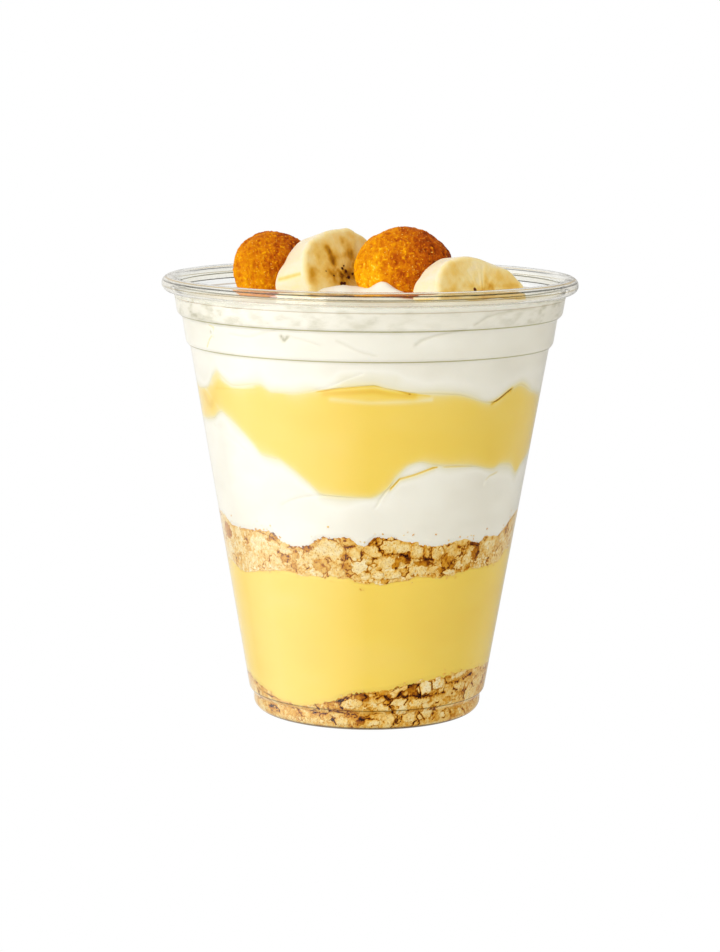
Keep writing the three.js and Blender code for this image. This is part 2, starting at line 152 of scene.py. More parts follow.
UPPER_CUSTARD_MARKS = (
    (((-14, 80.6), (-6, 80.9), (1.8, 81.2), (8, 80.6), (14, 80.1)), 1.0, 0.26, 0.0),
    # A paler band under the crease: painted highlight
    (((-12, 79.2), (0, 78.5), (10, 78.7), (20, 79.0)), 0.7, -0.25, 0.0),
    # The thin dented crease, darkened with painted shade
    (((-16.5, 80.7), (-10.6, 81.5), (-4.4, 82.0), (1.8, 82.4), (6.4, 81.9), (12.8, 80.5)), 0.2, 0.4, -0.12),
    (((12.8, 80.5), (19.4, 79.9)), 0.2, 0.22, -0.05),
    (((-71, 77.2), (-69, 75.2), (-66, 74.6), (-63, 76.0)), 1.3, 0.14, 0.0),
    (((-68.5, 78.5), (-64, 76.6), (-60, 74.6)), 0.3, -0.2, -0.1),
    (((-62, 80), (-57, 82), (-50, 80.6), (-40, 80.8)), 1.1, -0.18, 0.0),
    (((-60, 79.2), (-52, 79.6), (-44, 79.8), (-38, 80.4)), 0.25, 0.12, 0.0),
    (FOLD_LINE, 0.5, 0.25, -0.05),
    # The thin crease along the fold, darkened with painted shade
    (FOLD_LINE, 0.2, 0.4, -0.15),
)
TOP_CREAM_MARKS = (
    (((-8, 84.2), (0, 84.6), (8, 84.0)), 2.0, 0.12, 0.0),
    (((31, 95.9), (35.1, 97.6), (39.2, 98.3), (43, 98.6), (48, 98.8), (54.3, 98.7)), 0.4, -0.12, -0.24),
    (((13.6, 91.7), (15.6, 92.8), (18.3, 93.5), (21.4, 94.1), (25.2, 94.7), (28.1, 94.9)),
     0.35, -0.14, -0.24),
    (((-56, 94.3), (-54, 93.7), (-54.4, 92.1), (-57.1, 90.7), (-58.9, 89.0)), 0.22, 0.6, -0.25),
    (((-55.5, 92.6), (-54.6, 91.6)), 0.3, -0.3, -0.1),
    (((-26.7, 93.1), (-25.8, 92.1), (-24.7, 93.0)), 0.4, -0.4, -0.25),
    (((-45.9, 92.6), (-37.7, 92.4), (-33.1, 93.5), (-28.5, 94.4)), 0.3, -0.06, -0.15),
    (((-24, 93.2), (-18, 92.2), (-14.5, 91.4)), 0.3, -0.07, -0.15),
    (((-9.5, 92.6), (-6, 91.3), (-2.5, 90.1), (2, 89.2)), 0.3, -0.08, -0.18),
    (((42, 77.0), (47.0, 78.3), (50.7, 79.7), (52.6, 80.2)), 0.7, 0.35, -0.05),
    (((43.5, 77.1), (47.0, 78.2), (50.7, 79.6), (52.2, 80.0)), 0.22, 0.5, -0.2),
    (((-17.8, 80.9), (-13.8, 81.7), (-9.7, 82.9), (-5.9, 84.1), (-2.2, 85.1)), 0.35, -0.07, -0.15),
    (((51.8, 79.3), (54.2, 80.6), (58.3, 81.0), (65.1, 79.6)), 0.9, 0.12, 0.0),
)

# How strongly painted shade greys the cream in wisps over the collar, where it stands off the wall, as
# (angle, strength)
TOP_COLLAR_SHADE = (
    (-95, 0.3), (-78, 0.8), (-68, 1.0), (-50, 0.85), (-36, 0.5), (-22, 0.65), (-10, 0.5), (5, 0.45),
    (18, 0.25), (30, 0.2), (45, 0.45), (60, 0.8), (75, 0.6), (95, 0.3), (180, 0.3))

# Where the crumbs are coarse and how ragged their edges are, as (angle, amount)
BED_COARSE = (
    (-150, 0.6), (-90, 0.4), (-60, 0.1), (-30, 0.15), (-12, 0.3), (0, 0.4), (16, 0.6), (36, 0.6), (44, 0.3),
    (75, 0.3), (120, 0.6), (180, 0.6))
BELT_COARSE = (
    (-140, 0.7), (-90, 0.5), (-62, 0.15), (-46, 0.2), (-34, 0.6), (-24, 0.8), (30, 0.8), (44, 0.6), (53, 0.3),
    (75, 0.25), (110, 0.6), (150, 0.7))
BED_FRINGE = ((-80, 0.2), (-30, 0.3), (-25, 0.7), (0, 0.9), (40, 0.7), (60, 0.4), (120, 0.4))
BELT_FRINGE = (
    (-140, 0.4), (-100, 0.5), (-70, 0.8), (-45, 0.9), (-36, 0.5), (-28, 0.3), (-10, 0.6), (0, 0.6), (15, 0.6),
    (35, 0.3), (60, 0.5), (100, 0.4), (150, 0.4))
BELT_FOOT_FRINGE = ((-90, 0.6), (-60, 0.5), (-30, 0.9), (0, 0.9), (40, 0.8), (70, 0.6), (180, 0.6))

# Broken pieces as (angle, height, width, rise, slant, tone)
BED_CHUNKS = (
    (15, 9.9, 5.0, 1.5, 32, 0.10), (22, 10.4, 3.1, 2.6, 0, 0.54), (23, 8.9, 2.9, 1.1, -10, 0.42),
    (28, 10.3, 3.5, 3.7, 10, 0.04), (35, 10.9, 3.8, 3.3, 0, 0.02), (-2, 8.6, 3.7, 2.0, 0, 0.48),
    (-7, 7.0, 5.3, 2.0, 8, 0.12), (5, 7.8, 4.4, 2.0, 12, 0.14), (15, 7.4, 4.1, 2.0, 10, 0.10),
    (25, 6.9, 5.4, 1.8, 10, 0.14), (47, 12.2, 6.4, 1.1, 15, 0.10), (-3, 2.6, 1.8, 1.8, 0, 0.56),
    (3, 2.3, 4.0, 1.8, 0, 0.16), (-11, 2.4, 4.9, 1.5, -5, 0.16), (12, 3.2, 3.6, 2.2, 0, 0.18),
    (21, 3.2, 3.5, 2.4, 5, 0.20), (30, 3.5, 4.1, 2.6, 10, 0.12), (40, 4.4, 4.6, 2.6, 15, 0.16),
    (-54, 2.9, 4.1, 1.3, -10, 0.40), (-41, 3.3, 4.1, 2.0, -15, 0.30), (-30, 3.3, 3.6, 1.8, -10, 0.26),
    (-20, 3.1, 3.7, 1.3, -5, 0.22))
BELT_CHUNKS = (
    (-33, 43.3, 4.8, 2.7, 10, 0.10), (-24, 44.1, 2.7, 1.8, 0, 0.46), (-15, 44.0, 7.7, 5.8, -15, 0.10),
    (-7, 46.1, 4.3, 2.0, -12, 0.28), (-5, 43.5, 3.2, 3.4, 20, 0.16), (2, 43.8, 4.5, 2.9, -20, 0.12),
    (10, 45.0, 7.8, 3.8, -8, 0.14), (-3, 40.4, 4.0, 3.8, 40, 0.04), (-18, 40.0, 5.2, 3.4, -15, 0.34),
    (-25, 40.7, 2.7, 4.5, -25, 0.12), (-34, 41.1, 3.0, 2.0, 0, 0.44), (-30, 39.7, 1.8, 1.6, 0, 0.46),
    (-8, 40.0, 2.0, 1.6, 0, 0.42), (-12, 38.4, 4.1, 2.0, 15, 0.14), (-1, 38.3, 2.9, 2.2, 0, 0.16),
    (4, 38.1, 2.7, 2.2, 0, 0.12), (7, 41.3, 5.0, 2.5, 25, 0.16), (11, 41.1, 2.1, 3.1, 0, 0.50),
    (14, 42.1, 2.3, 2.2, 0, 0.50), (19, 43.5, 2.9, 3.4, 0, 0.14), (23, 43.1, 2.0, 3.1, 5, 0.30),
    (27, 42.7, 2.5, 3.6, -10, 0.16), (22, 40.9, 3.6, 1.6, -10, 0.56), (35, 43.0, 4.7, 3.4, -20, 0.24),
    (39, 44.9, 3.8, 1.8, 5, 0.15), (45, 43.8, 3.2, 1.6, -20, 0.50), (46, 41.6, 2.6, 2.9, 15, 0.58),
    (42, 41.4, 2.7, 3.6, 20, 0.12), (32, 40.6, 3.4, 3.8, 10, 0.46), (38, 37.9, 2.3, 1.6, 0, 0.44),
    (10, 38.5, 4.1, 2.5, 20, 0.16), (20, 39.0, 3.8, 2.7, 15, 0.12), (26, 39.0, 3.5, 2.0, 10, 0.20),
    (33, 38.1, 3.2, 1.6, 0, 0.12), (-4, 37.8, 2.7, 1.8, 0, 0.20), (14, 38.9, 2.1, 2.2, 0, 0.35))

# Cracks as (line of (angle, height), width)
BED_CRACKS = (
    (((-27.7, 3.7), (-20.5, 4.0), (-17.8, 4.8), (-14.2, 4.9), (-11.7, 4.8), (-9.7, 4.2), (-6.0, 4.1),
      (-4.2, 3.5), (0.2, 3.6), (2.2, 4.2), (6.1, 4.5)), 0.3),
    (((-6, 3.4), (-2.5, 2.9), (1.5, 3.3)), 0.4),
    (((4.3, 8.3), (7.4, 9.0), (10.2, 8.3), (12.6, 8.3), (14.9, 9.1), (17.4, 9.9), (19.4, 10.7)), 0.34),
    (((12, 8.2), (16.5, 8.5), (21.2, 8.7), (25.2, 8.3), (30.5, 8.0), (34.3, 8.5), (40.1, 8.6)), 0.24),
    (((-14, 7.2), (-9, 8.3), (-5, 9.3), (-1, 9.9), (4.3, 9.6)), 0.2),
    (((-1, 9.5), (0, 8.6), (-2, 7.8)), 0.26),
    (((38.3, 11.9), (40.6, 10.8), (45.4, 10.7), (51.6, 11.1), (57.6, 11.7)), 0.26),
    (((24.6, 11.5), (25.4, 10.0), (26.2, 8.7)), 0.16),
    (((-58.6, 3.1), (-52.7, 3.5), (-51.4, 2.9)), 0.14),
    (((-37.0, 4.6), (-35.5, 3.4), (-33.8, 2.6)), 0.14),
    (((25.7, 5.0), (28.2, 3.6), (30.7, 1.9)), 0.14),
    (((44.4, 4.3), (47.2, 2.9), (48.1, 1.2)), 0.13),
    (((53.3, 3.8), (62.7, 1.1)), 0.12),
    (((12.1, 4.7), (14.3, 3.2), (13.5, 2.2)), 0.14),
    (((34.2, 5.3), (37.8, 3.8)), 0.14),
    (((-63.8, 7.2), (-56.5, 6.4), (-52.9, 6.0), (-46.5, 6.1)), 0.12))
BELT_CRACKS = (
    (((-8.9, 45.1), (-8.2, 43.7), (-8.6, 41.8), (-9.8, 40.1)), 0.24),
    (((-2.2, 43.5), (0.1, 43.3), (2.3, 42.1), (5.0, 42.1)), 0.18),
    (((1.1, 45.9), (2.9, 46.9), (3.4, 45.2), (5.3, 43.3), (6.8, 42.8), (9.8, 43.3), (13.3, 43.0),
      (16.9, 41.7)), 0.2),
    (((-21.6, 45.1), (-19.9, 46.6), (-17.1, 47.0), (-11.8, 46.2), (-9.6, 45.1), (-8.1, 44.6),
      (-4.8, 44.9)), 0.2),
    (((-20.2, 43.0), (-18.7, 42.2), (-15.9, 42.0), (-13.2, 41.4), (-11.4, 40.3)), 0.15),
    (((-57.1, 46.6), (-50.2, 46.9), (-43.6, 46.3), (-38.7, 45.5), (-35.6, 44.3)), 0.2),
    (((-43.4, 47.1), (-40.2, 47.4), (-37.6, 46.1)), 0.2),
    (((-32, 44.0), (-27, 43.6), (-23.5, 45.0)), 0.2),
    (((21.5, 45.1), (21.9, 42.0)), 0.13),
    (((24.6, 44.7), (25.1, 41.4)), 0.13),
    (((29.3, 44.5), (30.9, 43.0), (28.6, 41.2)), 0.16),
    (((17, 42.2), (21, 41.9), (26, 41.6)), 0.22),
    (((35.6, 40.4), (39.0, 40.6), (41.1, 42.2), (40.1, 43.9), (36.6, 44.1)), 0.18),
    (((42.1, 44.2), (47.8, 43.6), (47.8, 41.9), (46.7, 40.1)), 0.18),
    (((50.1, 45.5), (52.2, 44.9)), 0.16),
    (((66.9, 44.8), (68.4, 47.0), (69.0, 47.7)), 0.2))

# The two layers of crumbs, with how far painted shade darkens their cracks
BED = dict(seed=21, base=0.24, crack_shade=0.84, coarse=BED_COARSE, chunks=BED_CHUNKS, cracks=BED_CRACKS)
BELT = dict(seed=35, base=0.1, crack_shade=0.62, coarse=BELT_COARSE, chunks=BELT_CHUNKS, cracks=BELT_CRACKS)

# Rounds of further pieces as (tries, smallest, largest, least distance), how many are pale, and their sides
CHUNK_ROUNDS = ((500, 3.4, 6.0, 0.9), (2000, 2.0, 3.4, 0.85), (3500, 1.2, 2.0, 0.8))
PALE_SHARE = 0.75
CHUNK_SIDES = 7

# Loose crumbs, as (name, boundary, least and greatest height off it, count, seed)
LOOSE_CRUMBS = (
    ("crumbs_loose_over_bed", CRUMB_BED, 0.3, 2.0, 50, 91),
    ("crumbs_loose_under_belt", LOWER_CUSTARD, -0.4, -2.0, 60, 92),
    ("crumbs_loose_over_belt", CRUMB_BELT, 0.5, 2.6, 80, 93),
)

# The toppings, as in the frame: where the middle of the face or flat back is, turned right and leant back
# Each wafer also has a strength of painted light, which makes one side lighter and the other browner
WAFERS = {
    "wafer_left": dict(place=(-22.5, 6, 102.5), turn=30, lean=24, bright=0.4, seed=3, wide=1.01, high=0.985),
    "wafer_right": dict(place=(8, -5, 104.7), turn=3, lean=29, bright=1.0, seed=8, wide=1.03, high=0.97),
}
SLICES = {
    "banana_left": dict(place=(-5.3, -3, 103.3), turn=42, lean=16, seed=5, tone=0.4),
    "banana_right": dict(place=(26, -19, 99.5), turn=36, lean=12, seed=9, tone=0.32),
}
WAFER_RADIUS = 11.6
WAFER_DOME = 6.2
WAFER_EDGE = 1.2
WAFER_STEPS = 240
SLICE_THICKNESS = 10.0
SLICE_EDGE = 1.1
SLICE_REACH = 12.0
SLICE_STEPS = 220

# Outlines of the slices, as (angle round the face, reach), and the ridges on their sides
FACE_OUTLINES = {
    "banana_left": (
        (0, 12.3), (51, 12.4), (62, 12.2), (73, 12.5), (88, 11.8), (96, 11.8), (122, 12.3), (138, 13.3),
        (149, 13.5), (161, 13.1), (174, 12.8), (-170, 12.6), (-130, 12.2), (-90, 12.0), (-45, 12.3)),
    "banana_right": (
        (0, 13.0), (12, 13.1), (24, 11.9), (38, 11.1), (52, 9.9), (69, 9.4), (91, 10.0), (106, 10.9),
        (116, 11.6), (126, 12.4), (135, 13.2), (147, 13.5), (157, 13.4), (166, 13.1), (180, 12.8),
        (-150, 12.0), (-90, 10.9), (-40, 12.0)),
}
BACK_OUTLINES = {
    "banana_left": (
        (0, 12.3), (60, 12.0), (90, 11.9), (108, 11.9), (129, 11.7), (146, 11.8), (165, 13.6), (177, 14.5),
        (-160, 13.9), (-120, 12.2), (-60, 12.0)),
    "banana_right": (
        (0, 12.6), (45, 10.6), (90, 10.9), (108, 11.9), (121, 12.0), (145, 12.6), (154, 13.2), (161, 13.4),
        (180, 12.9), (-150, 12.0), (-90, 10.9), (-40, 12.0)),
}
SIDE_RIDGES = (
    (-100, 0), (-64, 1), (-30, 0), (0, 0), (40, 0), (48, 0.8), (56, 0), (100, 0), (168, 0), (171.5, 1),
    (175, 0))

# Streaks on a cut face as (from x, y, to x, y, width, change of tone), and seeds as (x, y, size)
FACE_STREAKS = {
    "banana_left": (
        (-4.6, 7.4, -1.8, -1.0, 1.1, 0.3), (0.6, 8.5, 3.0, 3.2, 1.0, 0.28), (-2.4, 0.6, 1.8, 1.2, 1.5, 0.26),
        (-3.0, 3.6, -1.6, 0.5, 0.6, 0.3), (-10.5, 1.2, -6.2, 1.4, 1.8, 0.12),
        (-5.2, 2.2, -3.6, -0.6, 0.6, 0.2), (-7.0, 9.5, 1.0, 10.8, 1.4, -0.12)),
    "banana_right": (
        (1.4, 4.4, 3.2, 2.7, 0.8, 0.26), (5.0, 3.2, 10.5, 3.0, 0.7, 0.16), (-4.4, 3.4, -2.4, 3.6, 0.8, 0.16),
        (-2.2, 5.8, -0.6, 4.6, 1.2, -0.14), (-1.4, 8.6, 1.2, 8.2, 1.0, -0.12),
        (-9.5, 6.5, -8.6, 3.0, 0.9, 0.08)),
}
SEED_PLACES = {
    "banana_left": (
        (-1.0, 2.3, 0.3), (-0.1, 1.6, 0.36), (0.5, 0.1, 0.4), (-4.0, 0.7, 0.2), (-2.0, -1.2, 0.38),
        (-1.1, -1.3, 0.4), (-6.2, 1.9, 0.16), (1.9, 0.9, 0.3), (-0.4, 2.9, 0.2)),
    "banana_right": ((-2.0, 2.75, 0.4), (1.6, -1.0, 0.4), (0.2, -2.4, 0.4), (-1.6, -1.2, 0.35)),
}

# How much of the light goes into soft food
SOFT_WEIGHT = 0.2

# The camera, fitted to the cup in the photo: distance and height in millimetres, and a lens in frame heights
CAMERA_DISTANCE = 664.93
CAMERA_HEIGHT = 156.85
CAMERA_PITCH = 8.635
CAMERA_YAW = 0.174
CAMERA_ROLL = 0.445
LENS_OVER_FRAME = 2827.12 / 952
SENSOR = 36.0

# The key lamp, in metres and watts, and the floor
KEY_PLACE = (-0.68, -0.81, 0.5)
KEY_AIM = (0, 0, 0.06)
KEY_SIDE = 0.6
KEY_POWER = 4.8
FLOOR_HALF = 3000.0
FLOOR_LIGHT = (238, 238, 238)

# Large whole numbers that scramble the cells of the noise
CELL_FACTORS = (73856093, 19349663, 83492791)
SEED_FACTOR = 2654435761
STIR_FACTOR = 1274126177


def blend(low, high, share):
    return low + (high - low) * share


def unit(value):
    """A value held between 0 and 1."""
    return np.clip(value, 0, 1)


def bell(distance, width):
    """1 at no distance, falling softly to nothing over about two widths."""
    return np.exp(-((distance / width) ** 2))


def turned_back(angles):
    """Angles brought to between -180 and 180."""
    return (angles + 180) % 360 - 180


def eased(pairs, angles):
    """Values at the angles on a smooth closed curve through (angle, value) pairs, with no overshoot."""
    pairs = sorted(pairs)
    x = np.array([p[0] for p in pairs], float)
    y = np.array([p[1] for p in pairs], float)
    x = np.concatenate([x[-2:] - 360, x, x[:2] + 360])
    y = np.concatenate([y[-2:], y, y[:2]])
    step = np.diff(x)
    slope = np.diff(y) / step
    before, after = slope[:-1], slope[1:]
    same = before * after > 0
    tangent = np.zeros(len(x))
    tangent[1:-1][same] = 2 * before[same] * after[same] / (before[same] + after[same])
    i = np.clip(np.searchsorted(x, angles) - 1, 0, len(x) - 2)
    t = (angles - x[i]) / step[i]
    return (
        y[i] * (1 + 2 * t) * (1 - t) ** 2
        + tangent[i] * step[i] * t * (1 - t) ** 2
        + y[i + 1] * t * t * (3 - 2 * t)
        + tangent[i + 1] * step[i] * t * t * (t - 1)
    )


def scattered(cell, seed):
    """A fixed random number from -1 to 1 for each cell of a grid."""
    key = seed * SEED_FACTOR
    for axis, factor in enumerate(CELL_FACTORS):
        key = key ^ (cell[..., axis] * factor)
    key = ((key ^ (key >> 13)) * STIR_FACTOR) & 0x7FFFFFFF
    return ((key >> 7) % 4096) / 2047.5 - 1


def lattice(points, seed):
    """Smooth noise from -1 to 1 at an array of points."""
    cell = np.floor(points).astype(np.int64)
    part = points - cell
    ease = part * part * (3 - 2 * part)
    total = np.zeros(points.shape[:-1])
    for corner in np.ndindex(2, 2, 2):
        offset = np.array(corner)
        total += scattered(cell + offset, seed) * np.prod(np.where(offset, ease, 1 - ease), axis=-1)
    return total


def layered(points, size, octaves, seed):
    """Noise whose largest lumps are size across, with finer ones on them."""
    total = np.zeros(points.shape[:-1])
    for octave in range(octaves):
        total += lattice(points * (2**octave / size), seed + octave) * 0.5**octave
    return total


def grain_gaps(points, size, seed):
    """For points among grains: how far the nearest middle is, how near the next, and the grain's number."""
    scaled = points / size
    cell = np.floor(scaled).astype(np.int64)
    nearest = np.full(points.shape[:-1], 9.0)
    second = np.full(points.shape[:-1], 9.0)
    own = np.zeros(points.shape[:-1])
    for corner in np.ndindex(3, 3, 3):
        at = cell + np.array(corner) - 1
        middle = at + 0.5 + 0.42 * np.stack([scattered(at, seed + k) for k in range(3)], axis=-1)
        distance = np.linalg.norm(middle - scaled, axis=-1)
        closer = distance < nearest
        second = np.where(closer, nearest, np.minimum(second, distance))
        nearest = np.where(closer, distance, nearest)
        own = np.where(closer, scattered(at, seed + 3), own)
    return nearest, second - nearest, own


def side_points(inset):
    """The cup's side as (radius, height) from the foot to the collar."""
    points = []
    for step in range(HEEL_STEPS + 1):
        angle = math.pi / 2 * step / HEEL_STEPS
        points.append((
            FOOT_OUTER + (HEEL_RADIUS - FOOT_OUTER - inset) * math.sin(angle),
            HEEL_HEIGHT - (HEEL_HEIGHT - inset) * math.cos(angle),
        ))
    points.append((HEEL_RADIUS - inset, GROOVE_HEIGHT))
    for radius, height in SIDE + BAND + COLLAR:
        points.append((radius - inset, height))
    return points


FILL_SIDE = np.array(side_points(WALL / 2))


def fill_radius(height):
    """How far the filling reaches, which is into the middle of the wall."""
    return np.interp(height, FILL_SIDE[:, 1], FILL_SIDE[:, 0])


def boundary(layer, radius, angle):
    """The height of a boundary between layers at a radius and an angle."""
    middle, pairs = layer
    share = np.minimum(radius / fill_radius(middle), 1)
    return middle + (eased(pairs, angle) - middle) * share**2


def edge_of(layer, drop=0.0):
    """A boundary between layers, moved down by a drop, or up where the drop is negative."""
    return lambda radius, angle: boundary(layer, radius, angle) - drop


def ragged(layer, rise, fringe, seed):
    """A boundary of crumbs, ragged at the wall by as much as the fringe says."""
    def edge(radius, angle):
        around = round_positions(fill_radius(layer[0]), angle, 0.0)
        jag = 0.2 + 0.6 * lattice(around / 1.4, seed) + 0.5 * lattice(around / 0.6, seed + 1)
        jag = jag + 0.35 * lattice(around / 0.3, seed + 2)
        return boundary(layer, radius, angle) + rise * eased(fringe, angle) * jag
    return edge


def floor_sheet(radius, angle):
    """The inside of the cup's floor, with the foot ring's channel round it."""
    floor, channel = FOOT_RISE + WALL / 2, WALL / 2
    return np.interp(
        radius, (0, FOOT_INNER - FOOT_RISE, FOOT_INNER, FOOT_OUTER), (floor, floor, channel, channel))


def cream_surface(radius, angle):
    """The height of the cream on top."""
    turn = np.radians(angle)
    x = radius * np.sin(turn)
    y = -radius * np.cos(turn)
    height = boundary(TOP_CREAM, radius, angle)
    for heap_x, heap_y, rise, spread in HEAPS + CREAM_BUMPS:
        height = height + rise * bell(np.hypot(x - heap_x, y - heap_y), spread)
    fade = np.sin(math.pi * np.minimum(radius / fill_radius(TOP_CREAM[0]), 1))
    height = height + SWIRL_RISE * fade * np.sin(SWIRL_ARMS * turn + FULL_TURN * radius / SWIRL_TURN_LENGTH)
    flat = np.stack(np.broadcast_arrays(x, y, 0 * x), axis=-1)
    return height + WAVE_RISE * layered(flat, WAVE_SIZE, 3, 71) * blend(0.55, 1.0, fade)


def line_distance(angle, height, line):
    """How far places on the wall are from a line drawn on it as (angle, height)."""
    scale = math.radians(1) * float(fill_radius(line[0][1]))
    best = np.full(np.broadcast(angle, height).shape, 1e9)
    for (a0, h0), (a1, h1) in zip(line[:-1], line[1:]):
        x = turned_back(angle - a0) * scale
        y = height - h0
        dx, dy = (a1 - a0) * scale, h1 - h0
        along = unit((x * dx + y * dy) / (dx * dx + dy * dy))
        best = np.minimum(best, np.hypot(x - along * dx, y - along * dy))
    return best


def make_object(name, vertices, faces, material, tones=None):
    """A smooth mesh object from millimetre vertices, each with its tone where tones are given."""
    mesh = bpy.data.meshes.new(name)
    mesh.from_pydata((np.asarray(vertices) * MM).tolist(), [], faces)
    mesh.polygons.foreach_set("use_smooth", [True] * len(mesh.polygons))
    if tones is not None:
        layer = mesh.attributes.new("tone", "FLOAT", "POINT")
        layer.data.foreach_set("value", np.asarray(tones, dtype=np.float32))
    mesh.update()
    obj = bpy.data.objects.new(name, mesh)
    bpy.context.scene.collection.objects.link(obj)
    obj.data.materials.append(material)
    return obj


def dress(obj, slot, *nodes):
    """Puts a piece on the cup's body and hides the solids it stands for; the slot is not used."""
    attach(obj, "root")
    if nodes:
        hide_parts(*nodes)


def round_positions(radius, angle, height):
    """Points at a radius and a height, at an angle round the axis."""
    radius, angle, height = np.broadcast_arrays(radius, np.radians(angle), height)
    return np.stack([radius * np.sin(angle), -radius * np.cos(angle), height], axis=-1)


def closed_rings(rings, middles):
    """Vertices and faces of rings of points, lowest first, closed at each end round a middle point."""
    rows, columns = rings.shape[:2]
    count = rows * columns
    own = np.arange(count).reshape(rows, columns)
    beside = np.roll(own, -1, axis=1)
    faces = np.stack([own[:-1], beside[:-1], beside[1:], own[1:]], axis=-1).reshape(-1, 4).tolist()
    faces += [(count, b, a) for a, b in zip(own[0].tolist(), beside[0].tolist())]
    faces += [(count + 1, a, b) for a, b in zip(own[-1].tolist(), beside[-1].tolist())]
    return np.concatenate([rings.reshape(-1, 3), middles]), faces


def joined(lumps, triangles):
    """Vertices and faces of many lumps, all with the same triangles, as one mesh."""
    faces = [triangles + index * len(lump) for index, lump in enumerate(lumps)]
    return np.concatenate(lumps), np.concatenate(faces).tolist()


def ball():
    """The vertices and triangles of a round ball of radius 1."""
    mesh = bmesh.new()
    bmesh.ops.create_icosphere(mesh, subdivisions=2, radius=1.0)
    vertices = np.array([v.co[:] for v in mesh.verts])
    faces = np.array([[v.index for v in f.verts] for f in mesh.faces])
    mesh.free()
    return vertices, faces


def new_material(name):
    material = bpy.data.materials.new(name)
    material.use_nodes = True
    tree = material.node_tree
    return material, tree, tree.nodes["Principled BSDF"]


def srgb(colour):
    """A colour given as 0 to 255 values, as linear light."""
    return tuple((c / 255 / 12.92) if c <= 10 else ((c / 255 + 0.055) / 1.055) ** 2.4 for c in colour)


def put(socket, value):
    """Gives a socket a link, a colour as 0 to 255 values, or a plain value."""
    if isinstance(value, bpy.types.NodeSocket):
        socket.id_data.links.new(value, socket)
    elif socket.type == "RGBA":
        socket.default_value = (*srgb(value), 1)
    else:
        socket.default_value = value


def put_all(node, *values):
    """Gives values to a node's first inputs, in their order."""
    for socket, value in zip(node.inputs, values):
        put(socket, value)
    return node


def give(node, **values):
    """Gives values to a node's inputs or settings by name, with _ for a space."""
    for key, value in values.items():
        name = key.replace("_", " ")
        if name in node.inputs:
            put(node.inputs[name], value)
        else:
            setattr(node, key, value)
    return node


def add_node(tree, kind, **values):
    return give(tree.nodes.new(kind), **values)


def place_socket(tree, kind="Object"):
    return add_node(tree, "ShaderNodeTexCoord").outputs[kind]


def noise_node(tree, size, detail=3.0, roughness=0.5):
    """Noise in the object's own space, with lumps of about size in millimetres."""
    scale = 1 / (size * MM)
    return add_node(
        tree, "ShaderNodeTexNoise", Vector=place_socket(tree), Scale=scale, Detail=detail,
        Roughness=roughness).outputs["Fac"]


def ramp_node(tree, factor, stops):
    """A colour ramp with stops as (position, colour)."""
    ramp = add_node(tree, "ShaderNodeValToRGB", Fac=factor)
    elements = ramp.color_ramp.elements
    while len(elements) < len(stops):
        elements.new(0.5)
    for element, (position, colour) in zip(elements, stops):
        element.position = position
        element.color = (*srgb(colour), 1)
    return ramp.outputs["Color"]


def mix_colours(tree, factor, first, second):
    """Mixes two colours, each a socket or a plain colour, by a socket."""
    mix = add_node(tree, "ShaderNodeMix", data_type="RGBA")
    for index, value in ((0, factor), (6, first), (7, second)):
        put(mix.inputs[index], value)
    return mix.outputs[2]


def bump_node(tree, height, strength, distance, normal=None):
    bump = add_node(tree, "ShaderNodeBump", Height=height, Strength=strength, Distance=distance * MM)
    if normal is not None:
        give(bump, Normal=normal)
    return bump.outputs["Normal"]


def math_node(tree, operation, first, second):
    return put_all(add_node(tree, "ShaderNodeMath", operation=operation), first, second).outputs[0]


def map_range(tree, value, low, high, to_low, to_high):
    """Carries a value from one range over to another, and holds it at the ends."""
    return put_all(add_node(tree, "ShaderNodeMapRange"), value, low, high, to_low, to_high).outputs[0]


def mix_values(tree, factor, first, second):
    """Mixes two values, each a socket or a number, by a socket."""
    change = math_node(tree, "SUBTRACT", second, first)
    return math_node(tree, "ADD", first, math_node(tree, "MULTIPLY", change, factor))


def painted_lines_at(tree, height, low, high, clear, lines, first=()):
    """Thin level lines painted into the plastic's colour between two heights: painted shade and reflection
    where its bends and rim show dark or tinted.
    """
    stops = list(first)
    for at, half, colour in lines:
        for offset, shade in ((-1.6, clear), (-0.7, colour), (0.7, colour), (1.6, clear)):
            stops.append((at + offset * half, shade))
    share = map_range(tree, height, low * MM, high * MM, 0.0, 1.0)
    return ramp_node(tree, share, [((at - low) / (high - low), shade) for at, shade in stops])


